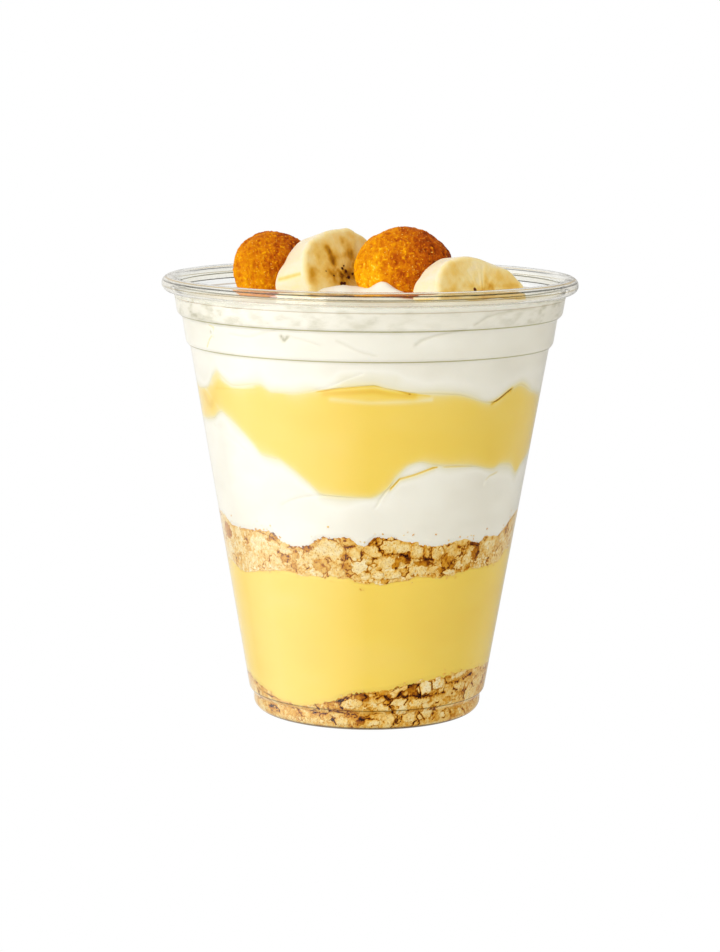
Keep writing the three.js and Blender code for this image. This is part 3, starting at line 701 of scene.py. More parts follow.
def clear_plastic():
    """Clear formed plastic, with lines of painted shade and reflection at its bends and rim and painted
    shadow at its foot, that lets lamps through to the filling.
    """
    material, tree, bsdf = new_material("clear_plastic")
    x, y, z = add_node(tree, "ShaderNodeSeparateXYZ", Vector=place_socket(tree)).outputs
    square = math_node(tree, "ADD", math_node(tree, "MULTIPLY", x, x), math_node(tree, "MULTIPLY", y, y))
    reach = math_node(tree, "DIVIDE", math_node(tree, "SQRT", square, 0.0), RIM_RADIUS * MM)
    middle = (RIM_RADIUS - BEAD_RADIUS) / RIM_RADIUS
    outside = ramp_node(tree, reach, ((middle - 0.006, (0, 0, 0)), (middle + 0.014, (255, 255, 255))))
    inside = ramp_node(tree, reach, ((middle - 0.024, (255, 255, 255)), (middle - 0.02, (0, 0, 0))))
    plain_top, collar_top = SIDE[1][1], COLLAR[-1][1]
    colour = painted_lines_at(tree, z, plain_top, collar_top, CLEAR, WALL_SHADE_AND_REFLECTION_LINES)
    inner = painted_lines_at(tree, z, plain_top, CUP_HEIGHT, CLEAR, WALL_SHADE_AND_REFLECTION_LINES + INNER_SHADE_LINES)
    rim = painted_lines_at(tree, z, collar_top, CUP_HEIGHT, CLEAR_BEAD, RIM_SHADE_AND_REFLECTION_LINES)
    # Painted shade in the groove's line, and painted shadow along the bottom of the foot
    foot = painted_lines_at(tree, z, 0.0, SIDE[0][1] * 2, CLEAR, GROOVE_SHADE_LINES, FOOT_SHADE)
    colour = mix_colours(tree, outside, mix_colours(tree, inside, colour, inner), rim)
    colour = mix_colours(tree, math_node(tree, "GREATER_THAN", z, plain_top * MM), foot, colour)
    ripple = bump_node(tree, noise_node(tree, 9.0, detail=1.0), 0.1, 0.25)
    give(bsdf, Base_Color=colour, Normal=ripple, Roughness=0.015, IOR=1.5, Transmission_Weight=1.0)
    rays = add_node(tree, "ShaderNodeLightPath").outputs
    through = math_node(tree, "MAXIMUM", rays["Is Shadow Ray"], rays["Is Diffuse Ray"])
    passing = add_node(tree, "ShaderNodeBsdfTransparent")
    passing.inputs["Color"].default_value = PASSING_LIGHT
    mix = put_all(add_node(tree, "ShaderNodeMixShader"), through, bsdf.outputs[0], passing.outputs[0])
    give(tree.nodes["Material Output"], Surface=mix.outputs[0])
    return material


def food(name, stops, span, bumps, roughness, specular=0.5, mottle=None, specks=None, soft=None):
    """Food whose colour follows its tone over a span.

    Bumps are (size of noise, detail, strength, depth), mottle is (size, detail, roughness, amount), specks
    are (size, detail, noise with none, noise with most, amount, colour), and soft is the (radius, scale) of
    the light inside.
    """
    material, tree, bsdf = new_material(name)
    tone = add_node(tree, "ShaderNodeAttribute", attribute_name="tone").outputs["Fac"]
    if mottle:
        uneven = math_node(tree, "MULTIPLY", noise_node(tree, *mottle[:3]), mottle[3])
        tone = math_node(tree, "ADD", tone, uneven)
    colour = ramp_node(tree, map_range(tree, tone, *span, 0.0, 1.0), stops)
    if specks:
        size, detail, none_at, most_at, amount, speck_colour = specks
        speck = map_range(tree, noise_node(tree, size, detail), none_at, most_at, 0.0, amount)
        colour = mix_colours(tree, speck, colour, speck_colour)
    normal = None
    for size, detail, strength, depth in bumps:
        normal = bump_node(tree, noise_node(tree, size, detail), strength, depth, normal)
    give(bsdf, Base_Color=colour, Normal=normal, Roughness=roughness, Specular_IOR_Level=specular)
    if soft:
        radius, scale = soft
        give(bsdf, Subsurface_Weight=SOFT_WEIGHT, Subsurface_Radius=radius, Subsurface_Scale=scale * MM)
    return material


def custard():
    """Thick egg custard; its tone runs from thin and creamy to deep and glossy, and on to the brown of
    painted shade in its creases.
    """
    return food(
        "custard", (
            (0.0, (253, 241, 204)), (0.28, (251, 223, 136)), (0.5, (252, 215, 88)), (0.8, (236, 182, 34)),
            (1.0, (170, 112, 20))),
        span=(0.0, 1.0), bumps=((3.0, 3.0, 0.1, 0.2),), roughness=0.45,
        specks=(1.6, 2.0, 0.72, 0.8, 0.1, (226, 178, 60)), soft=((1.0, 0.7, 0.25), 1.5))


def cream():
    """Whipped cream; its tone runs up to custard, and down to grey for painted shade in its folds and where
    it stands off the wall.
    """
    return food(
        "cream", (
            (0.0, (160, 154, 124)), (0.16, (218, 212, 192)), (0.33, (253, 247, 235)), (0.43, (243, 236, 214)),
            (0.59, (250, 234, 178)), (0.79, (242, 200, 70)), (1.0, (150, 96, 24))),
        span=(-0.5, 1.2), bumps=((0.9, 4.0, 0.15, 0.12), (4.0, 2.0, 0.25, 0.4)), roughness=0.5, specular=0.3,
        mottle=(10.0, 3.0, 0.5, 0.06), soft=((1.0, 0.9, 0.75), 1.2))


def crumb():
    """Broken biscuit: pale inside, golden to brown crust, with small pores; its darkest browns are painted
    shade in cracks.
    """
    return food(
        "crumb", (
            (0.0, (255, 238, 192)), (0.2, (249, 214, 136)), (0.36, (236, 182, 82)), (0.52, (212, 142, 26)),
            (0.66, (172, 98, 4)), (0.82, (112, 50, 0)), (1.0, (36, 4, 0))),
        span=(0.27, 1.27), bumps=((0.45, 5.0, 0.9, 0.3),), roughness=0.9, specular=0.03,
        mottle=(0.9, 6.0, 0.8, 0.6), specks=(0.3, 2.0, 0.42, 0.35, 0.55, (168, 96, 16)))


def wafer():
    """Browned biscuit with a wrinkled, lightly sugared dome."""
    return food(
        "wafer", (
            (0.1, (108, 34, 0)), (0.34, (176, 78, 0)), (0.54, (214, 122, 0)), (0.74, (240, 162, 0)),
            (0.92, (255, 194, 16)), (1.0, (255, 204, 74))),
        span=(0.24, 1.24), bumps=((0.4, 5.0, 0.8, 0.25),), roughness=0.6, specular=0.06,
        mottle=(1.8, 6.0, 0.75, 0.8), specks=(0.4, 1.0, 0.7, 0.74, 0.8, (255, 204, 92)))


def banana_flesh():
    """Cut banana: pale side, tan face with streaks and a softer middle."""
    return food(
        "banana_flesh", (
            (0.06, (239, 227, 203)), (0.28, (242, 220, 156)), (0.5, (234, 194, 100)), (0.7, (208, 150, 32)),
            (0.86, (160, 104, 0)), (1.0, (108, 52, 0))),
        span=(0.04, 1.04), bumps=((0.7, 4.0, 0.35, 0.2),), roughness=0.45, specular=0.2,
        mottle=(1.6, 4.0, 0.6, 0.2), soft=((1.0, 0.8, 0.45), 1.2))


def seed_brown():
    material, tree, bsdf = new_material("seed_brown")
    colour = ramp_node(tree, noise_node(tree, 0.5), ((0.3, (50, 18, 6)), (0.7, (96, 42, 16))))
    give(bsdf, Base_Color=colour, Roughness=0.7, Specular_IOR_Level=0.1)
    return material


def rounded_path(points, fillet, steps):
    """A path with each corner replaced by a short curve."""
    path = [np.array(points[0], float)]
    for i in range(1, len(points) - 1):
        before, corner, after = (np.array(p, float) for p in points[i - 1 : i + 2])
        back = before - corner
        on = after - corner
        reach = min(fillet, np.linalg.norm(back) / 2.2, np.linalg.norm(on) / 2.2)
        start = corner + back / np.linalg.norm(back) * reach
        end = corner + on / np.linalg.norm(on) * reach
        for step in range(steps + 1):
            t = step / steps
            path.append(start * (1 - t) ** 2 + corner * 2 * t * (1 - t) + end * t * t)
    path.append(np.array(points[-1], float))
    return np.array(path)


def cup_path():
    """The middle of the cup's wall, from the axis under the floor out, up and over the rolled rim."""
    half = WALL / 2
    points = [(0.0, FOOT_RISE + half), (FOOT_INNER - FOOT_RISE, FOOT_RISE + half), (FOOT_INNER, half)]
    points += side_points(half)
    curl = BEAD_RADIUS - half
    for degrees in range(180, -111, -15):
        angle = math.radians(degrees)
        points.append((
            RIM_RADIUS - BEAD_RADIUS + curl * math.cos(angle),
            CUP_HEIGHT - BEAD_RADIUS + curl * math.sin(angle),
        ))
    return rounded_path(points, BEND_RADIUS, BEND_STEPS)


def make_cup(material):
    """The cup as a thin shell turned round its axis, thinner in its rolled rim."""
    path = cup_path()
    along = np.gradient(path, axis=0)
    along /= np.linalg.norm(along, axis=1)[:, None]
    outwards = np.stack([along[:, 1], -along[:, 0]], axis=1)
    outwards[0] = (0, -1)
    rim_share = np.clip((path[:, 1] - COLLAR[1][1]) / (COLLAR[-1][1] - COLLAR[1][1]), 0, 1)
    thinned = blend(WALL / 2, RIM_WALL - WALL / 2, rim_share)
    outside = path + outwards * thinned[:, None]
    inside = (path - outwards * WALL / 2)[::-1]
    profile = np.concatenate([outside[1:], inside[:-1]])
    rings = round_positions(profile[:, :1], np.arange(CUP_STEPS) * 360 / CUP_STEPS, profile[:, 1:])
    vertices, faces = closed_rings(rings, [(0, 0, outside[0, 1]), (0, 0, inside[-1, 1])])
    dress(make_object("cup_clear", vertices, faces, material), "clear_plastic", "cup")


def make_fill(name, low, high, material, rows, look, columns, top_rings=HIDDEN_RINGS):
    """A layer of the filling: its side at the wall, closed above and below, finest in front."""
    even = FULL_TURN * np.arange(columns) / columns - math.pi
    angle = np.degrees(even - FRONT_CROWDING * np.sin(even))
    edge_low = low(BEYOND_WALL, angle)
    edge_high = high(BEYOND_WALL, angle)
    share = np.linspace(0, 1, rows)[:, None]
    share = blend(share, 0.5 - 0.5 * np.cos(math.pi * share), 0.5)
    height = blend(edge_low, edge_high, share)
    depth, tone = look(np.broadcast_to(angle, height.shape), height, height - edge_low, edge_high - height)
    radius = fill_radius(height) + depth
    below = np.linspace(0.03, 0.985, HIDDEN_RINGS)[:, None] * radius[0]
    above = np.linspace(0.985, 0.03, top_rings)[:, None] * radius[-1]
    heights = np.concatenate([low(below, angle), height, high(above, angle)])
    radii = np.concatenate([below, radius, above])
    low_tone, high_tone = tone[0].mean(), tone[-1].mean()
    tones = np.concatenate([np.full(below.shape, low_tone), tone, np.full(above.shape, high_tone)])
    centre = np.zeros(1)
    middles = [(0, 0, end(centre, centre)[0]) for end in (low, high)]
    vertices, faces = closed_rings(round_positions(radii, angle, heights), middles)
    return make_object(name, vertices, faces, material, np.append(tones, [low_tone, high_tone]))


def wall_look(
        seed, base, patches, marks=(), soft_low=0.0, soft_high=0.0, soft_tone=0.0, sunk_low=False,
        sunk_high=False, collar_shade=None):
    """How custard or cream lies at the wall, as depth and tone: waves, soft edges, marks and grey wisps of
    painted shade.
    """
    def look(angle, height, below, above):
        place = round_positions(fill_radius(height), angle, height)
        uneven = 0.5 + 0.5 * lattice(place / 5.0, seed)
        depth = 0.07 * layered(place * (1, 1, 1.6), 9.0, 3, seed + 3)
        tone = base + patches * layered(place * (0.6, 0.6, 1.3), 8.0, 3, seed + 20)
        for soft, away in ((soft_low, below), (soft_high, above)):
            if soft:
                tone = tone + soft_tone * np.exp(-np.maximum(away, 0) / (soft * blend(0.4, 1.8, uneven)))
        for line, width, change, dent in marks:
            share = bell(line_distance(angle, height, line) * blend(0.8, 1.5, uneven), width)
            tone = tone + change * share
            depth = depth + dent * share
        # Grey wisps over the collar: painted shade where the cream stands off the wall
        if collar_shade:
            wisps = unit(0.36 + 0.9 * layered(place * (0.7, 0.7, 1.5), 2.0, 4, seed + 40)) ** 1.5
            fade = unit((height - BAND[1][1]) / 1.2)
            tone = tone - eased(collar_shade, angle) * fade * (0.34 * wisps + 0.04)
        depth = np.clip(depth, WALL_REACH, 0.24)
        for sunk, away in ((sunk_low, below), (sunk_high, above)):
            if sunk:
                depth = depth - RECEDE * unit(1 - away / (1.6 * OVERLAP)) ** 0.7
        return depth, tone
    return look


def place_chunks(low, high, coarse, listed, seed):
    """Broken pieces as (angle, height, width, rise, slant, tone): those listed, then the largest that fit."""
    random = np.random.default_rng(seed)
    chunks = np.array(listed, float)
    for tries, smallest, largest, apart in CHUNK_ROUNDS:
        angles = random.uniform(-180, 180, tries)
        widths = random.uniform(smallest, largest, tries)
        rises = widths * random.uniform(0.5, 0.9, tries)
        bottoms = low(BEYOND_WALL, angles) + 0.3 * rises
        heights = blend(bottoms, high(BEYOND_WALL, angles) - 0.3 * rises, random.uniform(0, 1, tries))
        where = round_positions(fill_radius(heights), angles, heights)
        wanted = 0.5 + 0.6 * lattice(where / 3.0, seed) < eased(coarse, angles)
        picks = random.uniform(0, 1, tries)
        browned = blend(0.3, 0.52, (picks - PALE_SHARE) / (1 - PALE_SHARE))
        tones = np.where(picks < PALE_SHARE, 0.06 + picks * 0.24, browned)
        slants = random.uniform(-35, 35, tries)
        for row in np.stack([angles, heights, widths, rises, slants, tones], axis=1)[wanted]:
            around = fill_radius(row[1]) * math.radians(1)
            across = turned_back(chunks[:, 0] - row[0]) * around / (chunks[:, 2] + row[2])
            rise = (chunks[:, 1] - row[1]) / (chunks[:, 3] + row[3])
            if (2 * np.hypot(across, rise) > apart).all():
                chunks = np.concatenate([chunks, [row]])
    return chunks


def chunk_gauge(chunk, across, rise, random):
    """How far out in a broken piece points are: less than 1 inside its straight-sided outline."""
    slant = math.radians(chunk[4])
    along = (across * math.cos(slant) + rise * math.sin(slant)) * 2 / chunk[2]
    over = (rise * math.cos(slant) - across * math.sin(slant)) * 2 / chunk[3]
    gauge = np.full(across.shape, -9.0)
    for side in range(CHUNK_SIDES):
        turn = FULL_TURN * (side + random.uniform(-0.3, 0.3)) / CHUNK_SIDES
        reach = random.uniform(0.86, 1.08)
        gauge = np.maximum(gauge, (along * math.cos(turn) + over * math.sin(turn)) / reach)
    return gauge


def chunk_fields(chunks, angle, height, bend, random):
    """How far inside the nearest broken piece places on the wall lie, and its depth and tone there."""
    nearest, second = np.full(height.shape, 9.0), np.full(height.shape, 9.0)
    half, depth, tone = np.ones(height.shape), np.zeros(height.shape), np.zeros(height.shape)
    for chunk in chunks:
        sink = abs(random.normal(0, 0.08))
        tilt = random.normal(0, 0.06, 2)
        turned = turned_back(angle[0] - chunk[0])
        around = math.radians(1) * float(fill_radius(chunk[1]))
        near = np.nonzero(np.abs(turned) * around < chunk[2] + 1.5)[0]
        across = turned[near] * around + bend[0][:, near]
        rise = height[:, near] - chunk[1] + bend[1][:, near]
        gauge = chunk_gauge(chunk, across, rise, random)
        closer = gauge < nearest[:, near]
        second[:, near] = np.where(closer, nearest[:, near], np.minimum(second[:, near], gauge))
        surface = across * tilt[0] + rise * tilt[1] - sink
        size = (chunk[2] + chunk[3]) / 4
        for field, value in ((nearest, gauge), (half, size), (depth, surface), (tone, chunk[5])):
            field[:, near] = np.where(closer, value, field[:, near])
    return np.minimum(1 - nearest, (second - nearest) / 2) * half, depth, tone


def crumb_look(low, high, crumbs):
    """How crumbs lie at the wall, as depth and tone: broken pieces with cracks between, in finer crumb, the
    cracks darkened with painted shade.
    """
    seed, base, crack_shade = crumbs["seed"], crumbs["base"], crumbs["crack_shade"]
    chunks = place_chunks(low, high, crumbs["coarse"], crumbs["chunks"], seed)

    def look(angle, height, below, above):
        place = round_positions(fill_radius(height), angle, height)

        def noise(size, number):
            return lattice(place / size, seed + number)

        bend = [0.35 * noise(1.8, k) + 0.34 * noise(0.8, 5 + k) + 0.2 * noise(0.35, 8 + k) for k in range(2)]
        random = np.random.default_rng(seed)
        inside, chunk_depth, chunk_tone = chunk_fields(chunks, angle, height, bend, random)
        open_here = unit(0.1 + 1.5 * noise(1.5, 11))
        brown = unit((chunk_tone - 0.35) / 0.2)
        crack = bell(inside, 0.05 + 0.08 * open_here) * unit(1.5 * open_here) * (1 - 0.6 * brown)
        rough = eased(crumbs["coarse"], angle)
        grain, gap, number = grain_gaps(place, 0.9, seed + 20)
        # Gaps between the finer grains are dented and darkened with painted shade
        grain_crack = bell(gap, 0.1) * unit(noise(2.2, 31) * 1.6)
        fine_depth = -0.04 - 0.12 * rough - 0.14 * grain - 0.2 * grain_crack
        fine_tone = base + 0.12 * number + 0.5 * grain_crack + 0.1 * rough + 0.12 * noise(2.5, 33)
        edge = unit(1 - inside / 0.6) ** 2 * unit(0.4 + noise(1.1, 36))
        piece_depth = chunk_depth - 0.16 * edge + 0.08 * layered(place, 1.1, 3, seed + 40)
        piece_tone = chunk_tone + 0.16 * edge * (1 - brown) + 0.1 * layered(place, 1.0, 3, seed + 50)
        depth = np.where(inside > 0, np.minimum(piece_depth, 0.05), fine_depth)
        tone = np.where(inside > 0, piece_tone, fine_tone)
        pit = unit(noise(0.42, 60) - 0.3) * 1.6
        depth = depth - 0.12 * pit
        tone = tone + 0.5 * pit * unit(0.4 + noise(2.0, 61))
        jagged = 0.32 * noise(1.0, 70) + 0.2 * noise(0.45, 71)
        shadow = np.zeros(height.shape)
        for line, width in crumbs["cracks"]:
            away = line_distance(angle, height + jagged, line)
            open_crack = bell(away, width * (0.3 + 0.7 * open_here)) * (0.6 + 0.4 * open_here)
            crack = np.maximum(crack, open_crack)
            shadow = np.maximum(shadow, bell(away, 3.2 * width))
        # Cracks darken with painted shade over the browner crumb inside them, with a halo of painted shadow
        # round the listed ones; the top edge darkens as browned crust deepened with painted shade
        fringe = np.exp(-above / 0.6) * unit(0.2 + 1.4 * noise(1.3, 80))
        tone = np.minimum(tone + crack_shade * crack + 0.16 * shadow + 0.4 * fringe, 0.3 + crack_shade)
        depth = np.clip(depth - 0.3 * crack, WALL_REACH, 0.05)
        for away in (below, above):
            depth = depth - 0.1 * unit(1 - away / 0.3) ** 2
        return np.maximum(depth, -0.05 - 0.4 * below), tone
    return look


def make_crumb_layer(name, low, high, material, crumbs):
    """A layer of crumbs: a core whose side at the wall is broken pieces and finer crumb."""
    look = crumb_look(low, high, crumbs)
    dress(make_fill(name + "_core", low, high, material, CRUMB_ROWS, look, CRUMB_STEPS), "crumb", name)


def make_soft_layer(
        name, slot, low, high, material, look, rows=SOFT_ROWS, columns=FINE_STEPS, top_rings=HIDDEN_RINGS):
    """A layer of custard or cream."""
    dress(make_fill(name + "_fill", low, high, material, rows, look, columns, top_rings), slot, name)


def make_loose_crumbs(name, layer, out_low, out_high, count, seed, material):
    """Small crumbs that have strayed from a layer's edge into what lies next to it, pressed on the wall."""
    random = np.random.default_rng(seed)
    shape, triangles = ball()
    lumps = []
    tones = []
    for _ in range(count):
        angle = random.uniform(-180, 180)
        height = float(boundary(layer, BEYOND_WALL, np.array(angle)))
        height += blend(out_low, out_high, random.uniform(0, 1) ** 2.5)
        size = random.uniform(0.08, 0.26)
        lump = shape * (size * random.uniform(0.8, 1.6), size * random.uniform(0.6, 1.0), 0.16)
        lump = lump * (1 + 0.25 * lattice(shape * 1.4 + 9 * len(lumps), seed))[:, None]
        spin = random.uniform(0, FULL_TURN)
        across = lump[:, 0] * math.cos(spin) - lump[:, 1] * math.sin(spin)
        rise = lump[:, 0] * math.sin(spin) + lump[:, 1] * math.cos(spin)
        radius = float(fill_radius(height))
        around = angle + np.degrees(across / radius)
        lumps.append(round_positions(radius + 0.02 + lump[:, 2], around, height + rise))
        tones.append(np.full(len(shape), random.uniform(0.1, 0.5)))
    vertices, faces = joined(lumps, triangles)
    dress(make_object(name, vertices, faces, material, np.concatenate(tones)), "crumb")


def make_filling():
    crumb_material, custard_material, cream_material = crumb(), custard(), cream()
    lower_cream, upper_custard = edge_of(LOWER_CREAM), edge_of(UPPER_CUSTARD)
    make_crumb_layer(
        "crumbs_bottom", floor_sheet, ragged(CRUMB_BED, 0.7, BED_FRINGE, 81), crumb_material, BED)
    make_soft_layer(
        "custard_lower", "custard", edge_of(CRUMB_BED, OVERLAP), edge_of(LOWER_CUSTARD, -OVERLAP),
        custard_material, wall_look(51, 0.5, 0.03, sunk_low=True, sunk_high=True), CUSTARD_ROWS, PLAIN_STEPS)
    make_crumb_layer(
        "crumbs_middle", ragged(LOWER_CUSTARD, -0.6, BELT_FOOT_FRINGE, 82),
        ragged(CRUMB_BELT, 0.7, BELT_FRINGE, 83), crumb_material, BELT)
    make_soft_layer(
        "cream_lower", "cream", edge_of(CRUMB_BELT, OVERLAP), lower_cream, cream_material,
        wall_look(52, 0.0, 0.05, LOWER_CREAM_MARKS, soft_high=0.8, soft_tone=0.45, sunk_low=True))
    make_soft_layer(
        "custard_upper", "custard", lower_cream, upper_custard, custard_material,
        wall_look(53, 0.5, 0.03, UPPER_CUSTARD_MARKS, soft_low=0.7, soft_high=0.7, soft_tone=-0.42))
    make_soft_layer(
        "cream_top", "cream", upper_custard, cream_surface, cream_material,
        wall_look(54, 0.0, 0.05, TOP_CREAM_MARKS, soft_low=0.8, soft_tone=0.45, collar_shade=TOP_COLLAR_SHADE),
        TOP_ROWS, FINE_STEPS, TOP_RINGS)
    for strays in LOOSE_CRUMBS:
        make_loose_crumbs(*strays, crumb_material)


def placing(topping):
    """The matrix that stands a topping in the cream, in millimetres."""
    lean = math.radians(90 - topping["lean"])
    turn = math.radians(topping["turn"])
    return (
        Matrix.Translation(topping["place"])
        @ Matrix.Rotation(turn, 4, "Z")
        @ Matrix.Rotation(lean, 4, "X")
    )


def placed(vertices, topping):
    matrix = np.array(placing(topping))
    return vertices @ matrix[:3, :3].T + matrix[:3, 3]


def make_wafer(name, topping, material):
    """A round biscuit: flat below, a rounded rim and a wrinkled, grainy dome."""
    flat_radius = WAFER_RADIUS - WAFER_EDGE
    profile = [(share * flat_radius, 0.0) for share in np.linspace(0.03, 0.97, 34)]
    for turn in np.radians(np.linspace(-80, 60, 14)):
        profile.append((flat_radius + WAFER_EDGE * math.cos(turn), WAFER_EDGE + WAFER_EDGE * math.sin(turn)))
    edge_radius, edge_height = profile[-1]
    for share in np.linspace(0.985, 0.02, 84):
        rise = (WAFER_DOME - edge_height) * math.sqrt(1 - share**2)
        profile.append((share * edge_radius, edge_height + rise * 0.995))
    radius, height = np.array(profile).T[:, :, None]
    angle = FULL_TURN * np.arange(WAFER_STEPS) / WAFER_STEPS
    rings = np.stack([radius * np.cos(angle), radius * np.sin(angle), 0 * angle + height], axis=-1)
    vertices, faces = closed_rings(rings, [(0, 0, 0), (0, 0, WAFER_DOME)])
    seed = topping["seed"]
    wobble = 1 + 0.02 * layered(vertices * (1, 1, 0), 8.0, 3, seed)
    vertices[:, 0] *= wobble * topping["wide"]
    vertices[:, 1] *= wobble * topping["high"]
    warped = vertices + 0.6 * np.stack([layered(vertices, 2.4, 2, seed + k) for k in range(3)], axis=1)
    wrinkles = 1 - np.abs(lattice(warped * (1.0, 0.5, 1.0) / 0.8, seed + 40)) * 1.6
    grains = np.maximum(0, lattice(vertices / 0.4, seed + 60) - 0.4)
    relief = 0.16 * wrinkles + 0.3 * grains + 0.16 * layered(vertices, 2.4, 3, seed + 80)
    outwards = vertices / WAFER_RADIUS * 0.8
    outwards[:, 2] = np.where(vertices[:, 2] > WAFER_EDGE, 1.0, -0.3)
    outwards /= np.linalg.norm(outwards, axis=1)[:, None]
    vertices = vertices + outwards * (relief - 0.3)[:, None]
    # One side lighter and the other browner: painted light from the front left, in the tone
    lean = (-vertices[:, 0] * topping["bright"] - vertices[:, 1] * 0.2) / WAFER_RADIUS
    patchy = layered(vertices * (1, 0.6, 1), 3.2, 3, seed + 90)
    tones = 0.23 + 0.28 * lean + 0.14 * np.clip(wrinkles, -0.6, 1) + 0.7 * grains + 0.09 * patchy
    dress(make_object(name + "_baked", placed(vertices, topping), faces, material, tones), "wafer", name)


def at_turns(pairs, turn):
    """Values at angles round the face of a slice, from pairs of an angle and a value."""
    return eased(pairs, turned_back(np.degrees(turn)))


def face_look(name, x, y, share):
    """The dips and tones of a cut face: faint rays, clouded streaks and a softer middle."""
    turn = np.arctan2(y, x)
    reach = np.hypot(x, y)
    seed = len(name)
    rays = layered(np.stack([np.cos(turn) * 9, np.sin(turn) * 9, reach * 0.18], axis=1), 1.0, 3, seed)
    flat = np.stack([x, y, 0 * x], axis=1)
    cloudy = layered(flat, 2.6, 3, seed + 9)
    wobble = 0.35 * layered(flat, 1.4, 2, seed + 30)
    middle = bell(reach, 4.0)
    tone = SLICES[name]["tone"] + 0.05 * rays * (0.6 + middle) + 0.12 * cloudy + 0.12 * middle
    dip = -0.18 * middle + 0.05 * rays + 0.05 * cloudy
    for x0, y0, x1, y1, width, strength in FACE_STREAKS[name]:
        dx, dy = x1 - x0, y1 - y0
        along = unit(((x - x0) * dx + (y - y0) * dy) / (dx * dx + dy * dy))
        off = np.hypot(x - x0 - along * dx, y - y0 - along * dy) + wobble
        streak = bell(off, width) * (0.85 + 0.3 * cloudy)
        tone = tone + strength * streak
        dip = dip - 0.2 * abs(strength) * streak
    edge = unit((share - 0.84) / 0.16)
    return dip * (1 - edge), tone - 0.2 * edge**1.5


def slice_rings():
    """Rings from the middle of a slice's back to that of its face, as (share, height, part)."""
    rings = [(share, 0.0, "back") for share in np.linspace(0.03, 0.9, 8)]
    for lift in np.radians(np.linspace(-90, 0, 8)):
        inset = SLICE_EDGE * (1 - math.cos(lift)) / SLICE_REACH
        rings.append((1 - inset, SLICE_EDGE * (1 + math.sin(lift)), "back"))
    for share in np.arange(1, 12) / 12:
        rings.append((1.0, blend(SLICE_EDGE, SLICE_THICKNESS - SLICE_EDGE, share), "side"))
    for lift in np.radians(np.linspace(0, 90, 8)):
        inset = SLICE_EDGE * (1 - math.cos(lift)) / SLICE_REACH
        rings.append((1 - inset, SLICE_THICKNESS - SLICE_EDGE * (1 - math.sin(lift)), "edge"))
    return rings + [(share, SLICE_THICKNESS, "face") for share in np.linspace(0.9, 0.02, 66)]


def make_slice(name, topping, material, seed_material):
    """A thick slice of banana: soft corners, a rayed face with seeds, and faint ridges along its side."""
    turn = FULL_TURN * np.arange(SLICE_STEPS) / SLICE_STEPS
    face_reach = at_turns(FACE_OUTLINES[name], turn)
    back_reach = at_turns(BACK_OUTLINES[name], turn)
    side_ridges = at_turns(SIDE_RIDGES, turn)
    rings = []
    tones = []
    for share, rise, part in slice_rings():
        reach = share * blend(back_reach, face_reach, rise / SLICE_THICKNESS)
        x, y = reach * np.cos(turn), reach * np.sin(turn)
        spots = np.stack([x, y, 0 * x + rise], axis=1)
        ridge = side_ridges * (part == "side")
        dip = 0.0
        tone = 0.06 + 0.05 * layered(spots * (1, 1, 0.25), 1.6, 3, topping["seed"]) + 0.32 * ridge
        if part == "face":
            dip, tone = face_look(name, x, y, share)
        elif part == "edge":
            _, face_tone = face_look(name, x, y, share)
            tone = blend(tone, face_tone, 1 - (SLICE_THICKNESS - rise) / SLICE_EDGE)
        bulge = 1 + 0.005 * layered(spots, 3.0, 3, topping["seed"] + 5) - 0.006 * ridge
        rings.append(np.stack([x * bulge, y * bulge, 0 * x + rise - SLICE_THICKNESS + dip], axis=1))
        tones.append(tone)
    vertices, faces = closed_rings(np.array(rings), [(0, 0, -SLICE_THICKNESS), (0, 0, -0.3)])
    tones = np.append(tones, [0.6, 0.85])
    dress(make_object(name + "_cut", placed(vertices, topping), faces, material, tones), "banana", name)
    make_seeds(name, topping, seed_material)


def make_seeds(name, topping, material):
    """Small dark seeds round the middle of the face."""
    shape, triangles = ball()
    lumps = []
    for x, y, size in SEED_PLACES[name]:
        spin = np.array(Matrix.Rotation(math.atan2(y, x), 3, "Z")).T
        turned = (shape * (size * 1.25, size, 0.22)) @ spin
        lumps.append(placed(turned + np.array([x, y, -0.12]), topping))
    vertices, faces = joined(lumps, triangles)
    dress(make_object(name + "_seeds", vertices, faces, material), "banana")


def make_toppings():
    wafer_material = wafer()
    for name, topping in WAFERS.items():
        make_wafer(name, topping, wafer_material)
    flesh = banana_flesh()
    seeds = seed_brown()
    for name, topping in SLICES.items():
        make_slice(name, topping, flesh, seeds)


def make_camera():
    data = bpy.data.cameras.new("camera")
    data.sensor_fit = "VERTICAL"
    data.sensor_height = SENSOR
    data.lens = LENS_OVER_FRAME * SENSOR
    data.clip_start = 0.01
    camera = bpy.data.objects.new("camera", data)
    bpy.context.scene.collection.objects.link(camera)
    camera.matrix_world = (
        Matrix.Translation((0, -CAMERA_DISTANCE * MM, CAMERA_HEIGHT * MM))
        @ Matrix.Rotation(math.radians(CAMERA_YAW), 4, "Z")
        @ Matrix.Rotation(math.radians(90 - CAMERA_PITCH), 4, "X")
        @ Matrix.Rotation(math.radians(CAMERA_ROLL), 4, "Z")
    )
    bpy.context.scene.camera = camera


def make_floor():
    """A white floor that is bright to look at, lights the cup gently and leaves the plastic's gloss alone."""
    material, tree, bsdf = new_material("floor_white")
    ray = add_node(tree, "ShaderNodeLightPath").outputs["Is Diffuse Ray"]
    glow = mix_colours(tree, ray, WHITE, FLOOR_LIGHT)
    give(bsdf, Base_Color=(0, 0, 0), Specular_IOR_Level=0.0, Emission_Color=glow, Emission_Strength=1.0)
    material.cycles.emission_sampling = "NONE"
    corners = [(x * FLOOR_HALF, y * FLOOR_HALF, 0) for x, y in ((-1, -1), (1, -1), (1, 1), (-1, 1))]
    floor = make_object("floor", corners, [(0, 1, 2, 3)], material)
    floor.visible_glossy = False


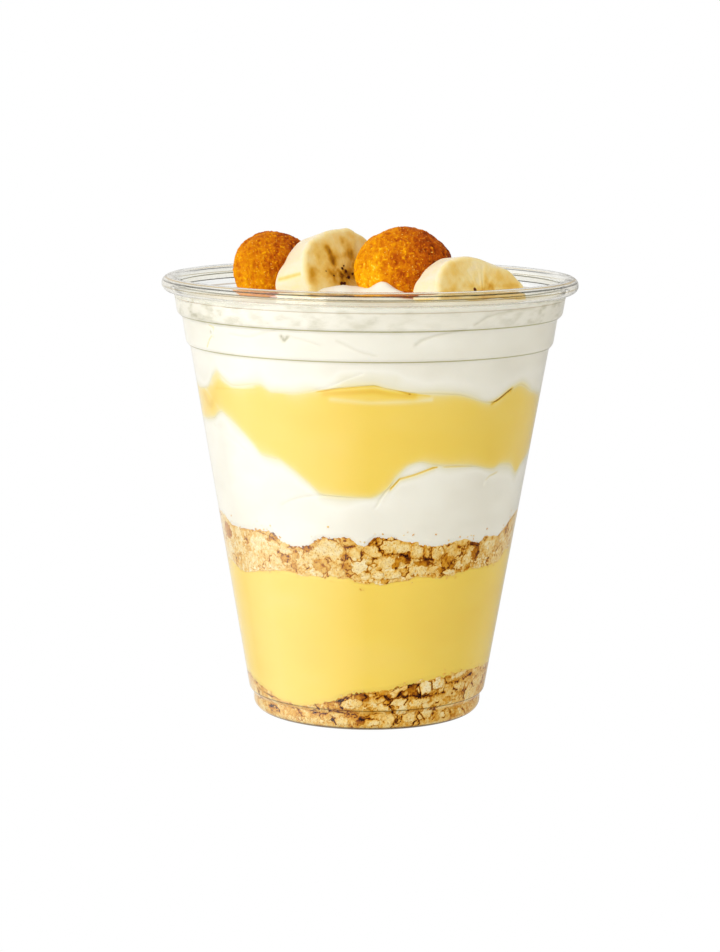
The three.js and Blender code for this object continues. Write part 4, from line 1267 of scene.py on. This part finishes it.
def make_key():
    """A large soft lamp, high at the front left."""
    data = bpy.data.lights.new("key", "AREA")
    data.size = KEY_SIDE
    data.energy = KEY_POWER
    light = bpy.data.objects.new("key", data)
    bpy.context.scene.collection.objects.link(light)
    light.location = KEY_PLACE
    light.rotation_euler = (Vector(KEY_AIM) - Vector(KEY_PLACE)).to_track_quat("-Z", "Y").to_euler()


def make_studio():
    """A white studio: bright behind, with gloss bright at the left and dim at the right, and soft light."""
    world = bpy.data.worlds.new("studio")
    world.use_nodes = True
    tree = world.node_tree
    x, y, z = add_node(tree, "ShaderNodeSeparateXYZ", Vector=place_socket(tree, "Generated")).outputs
    rightness = map_range(tree, x, -1.0, 1.0, 0.0, 1.0)
    leftness = map_range(tree, x, -1.0, 1.0, 1.0, 0.0)
    behind = map_range(tree, y, -1.0, 1.0, 0.0, 1.0)
    through = ramp_node(tree, behind, ((0.0, (196, 190, 172)), (0.6, (214, 208, 192)), (0.9, WHITE)))
    height_and_side = math_node(
        tree, "ADD", math_node(tree, "MULTIPLY", leftness, 0.65), math_node(tree, "MULTIPLY", z, 0.35))
    lit = ramp_node(tree, height_and_side, (
        (0.0, (194, 186, 166)), (0.4, (246, 244, 238)), (0.8, (246, 246, 244))))
    rays = add_node(tree, "ShaderNodeLightPath").outputs
    colour = mix_colours(tree, rays["Is Diffuse Ray"], through, lit)
    seen_by = (("Is Glossy Ray", (250, 247, 240)), ("Is Transmission Ray", through), ("Is Camera Ray", WHITE))
    for ray, seen in seen_by:
        colour = mix_colours(tree, rays[ray], colour, seen)
    front_gloss = map_range(tree, rightness, 0.1, 0.5, 2.9, 0.1)
    side_gloss = map_range(tree, rightness, 0.35, 0.65, 1.0, 0.5)
    gloss = mix_values(tree, map_range(tree, y, 0.1, 0.6, 0.0, 1.0), front_gloss, side_gloss)
    mirrored = math_node(tree, "SUBTRACT", rays["Is Glossy Ray"], rays["Is Transmission Ray"])
    mirrored = map_range(tree, mirrored, 0.0, 1.0, 0.0, 1.0)
    give(tree.nodes["Background"], Color=colour, Strength=mix_values(tree, mirrored, 1.0, gloss))
    world.cycles.sampling_method = "NONE"
    bpy.context.scene.world = world


def main():
    scene = bpy.context.scene
    scene.view_settings.view_transform = "Standard"
    scene.cycles.max_bounces = 16
    scene.cycles.transmission_bounces = 12
    scene.cycles.transparent_max_bounces = 16
    make_camera()
    make_floor()
    make_studio()
    make_key()
    make_cup(clear_plastic())
    make_filling()
    make_toppings()


main()
bpy.context.view_layer.update()
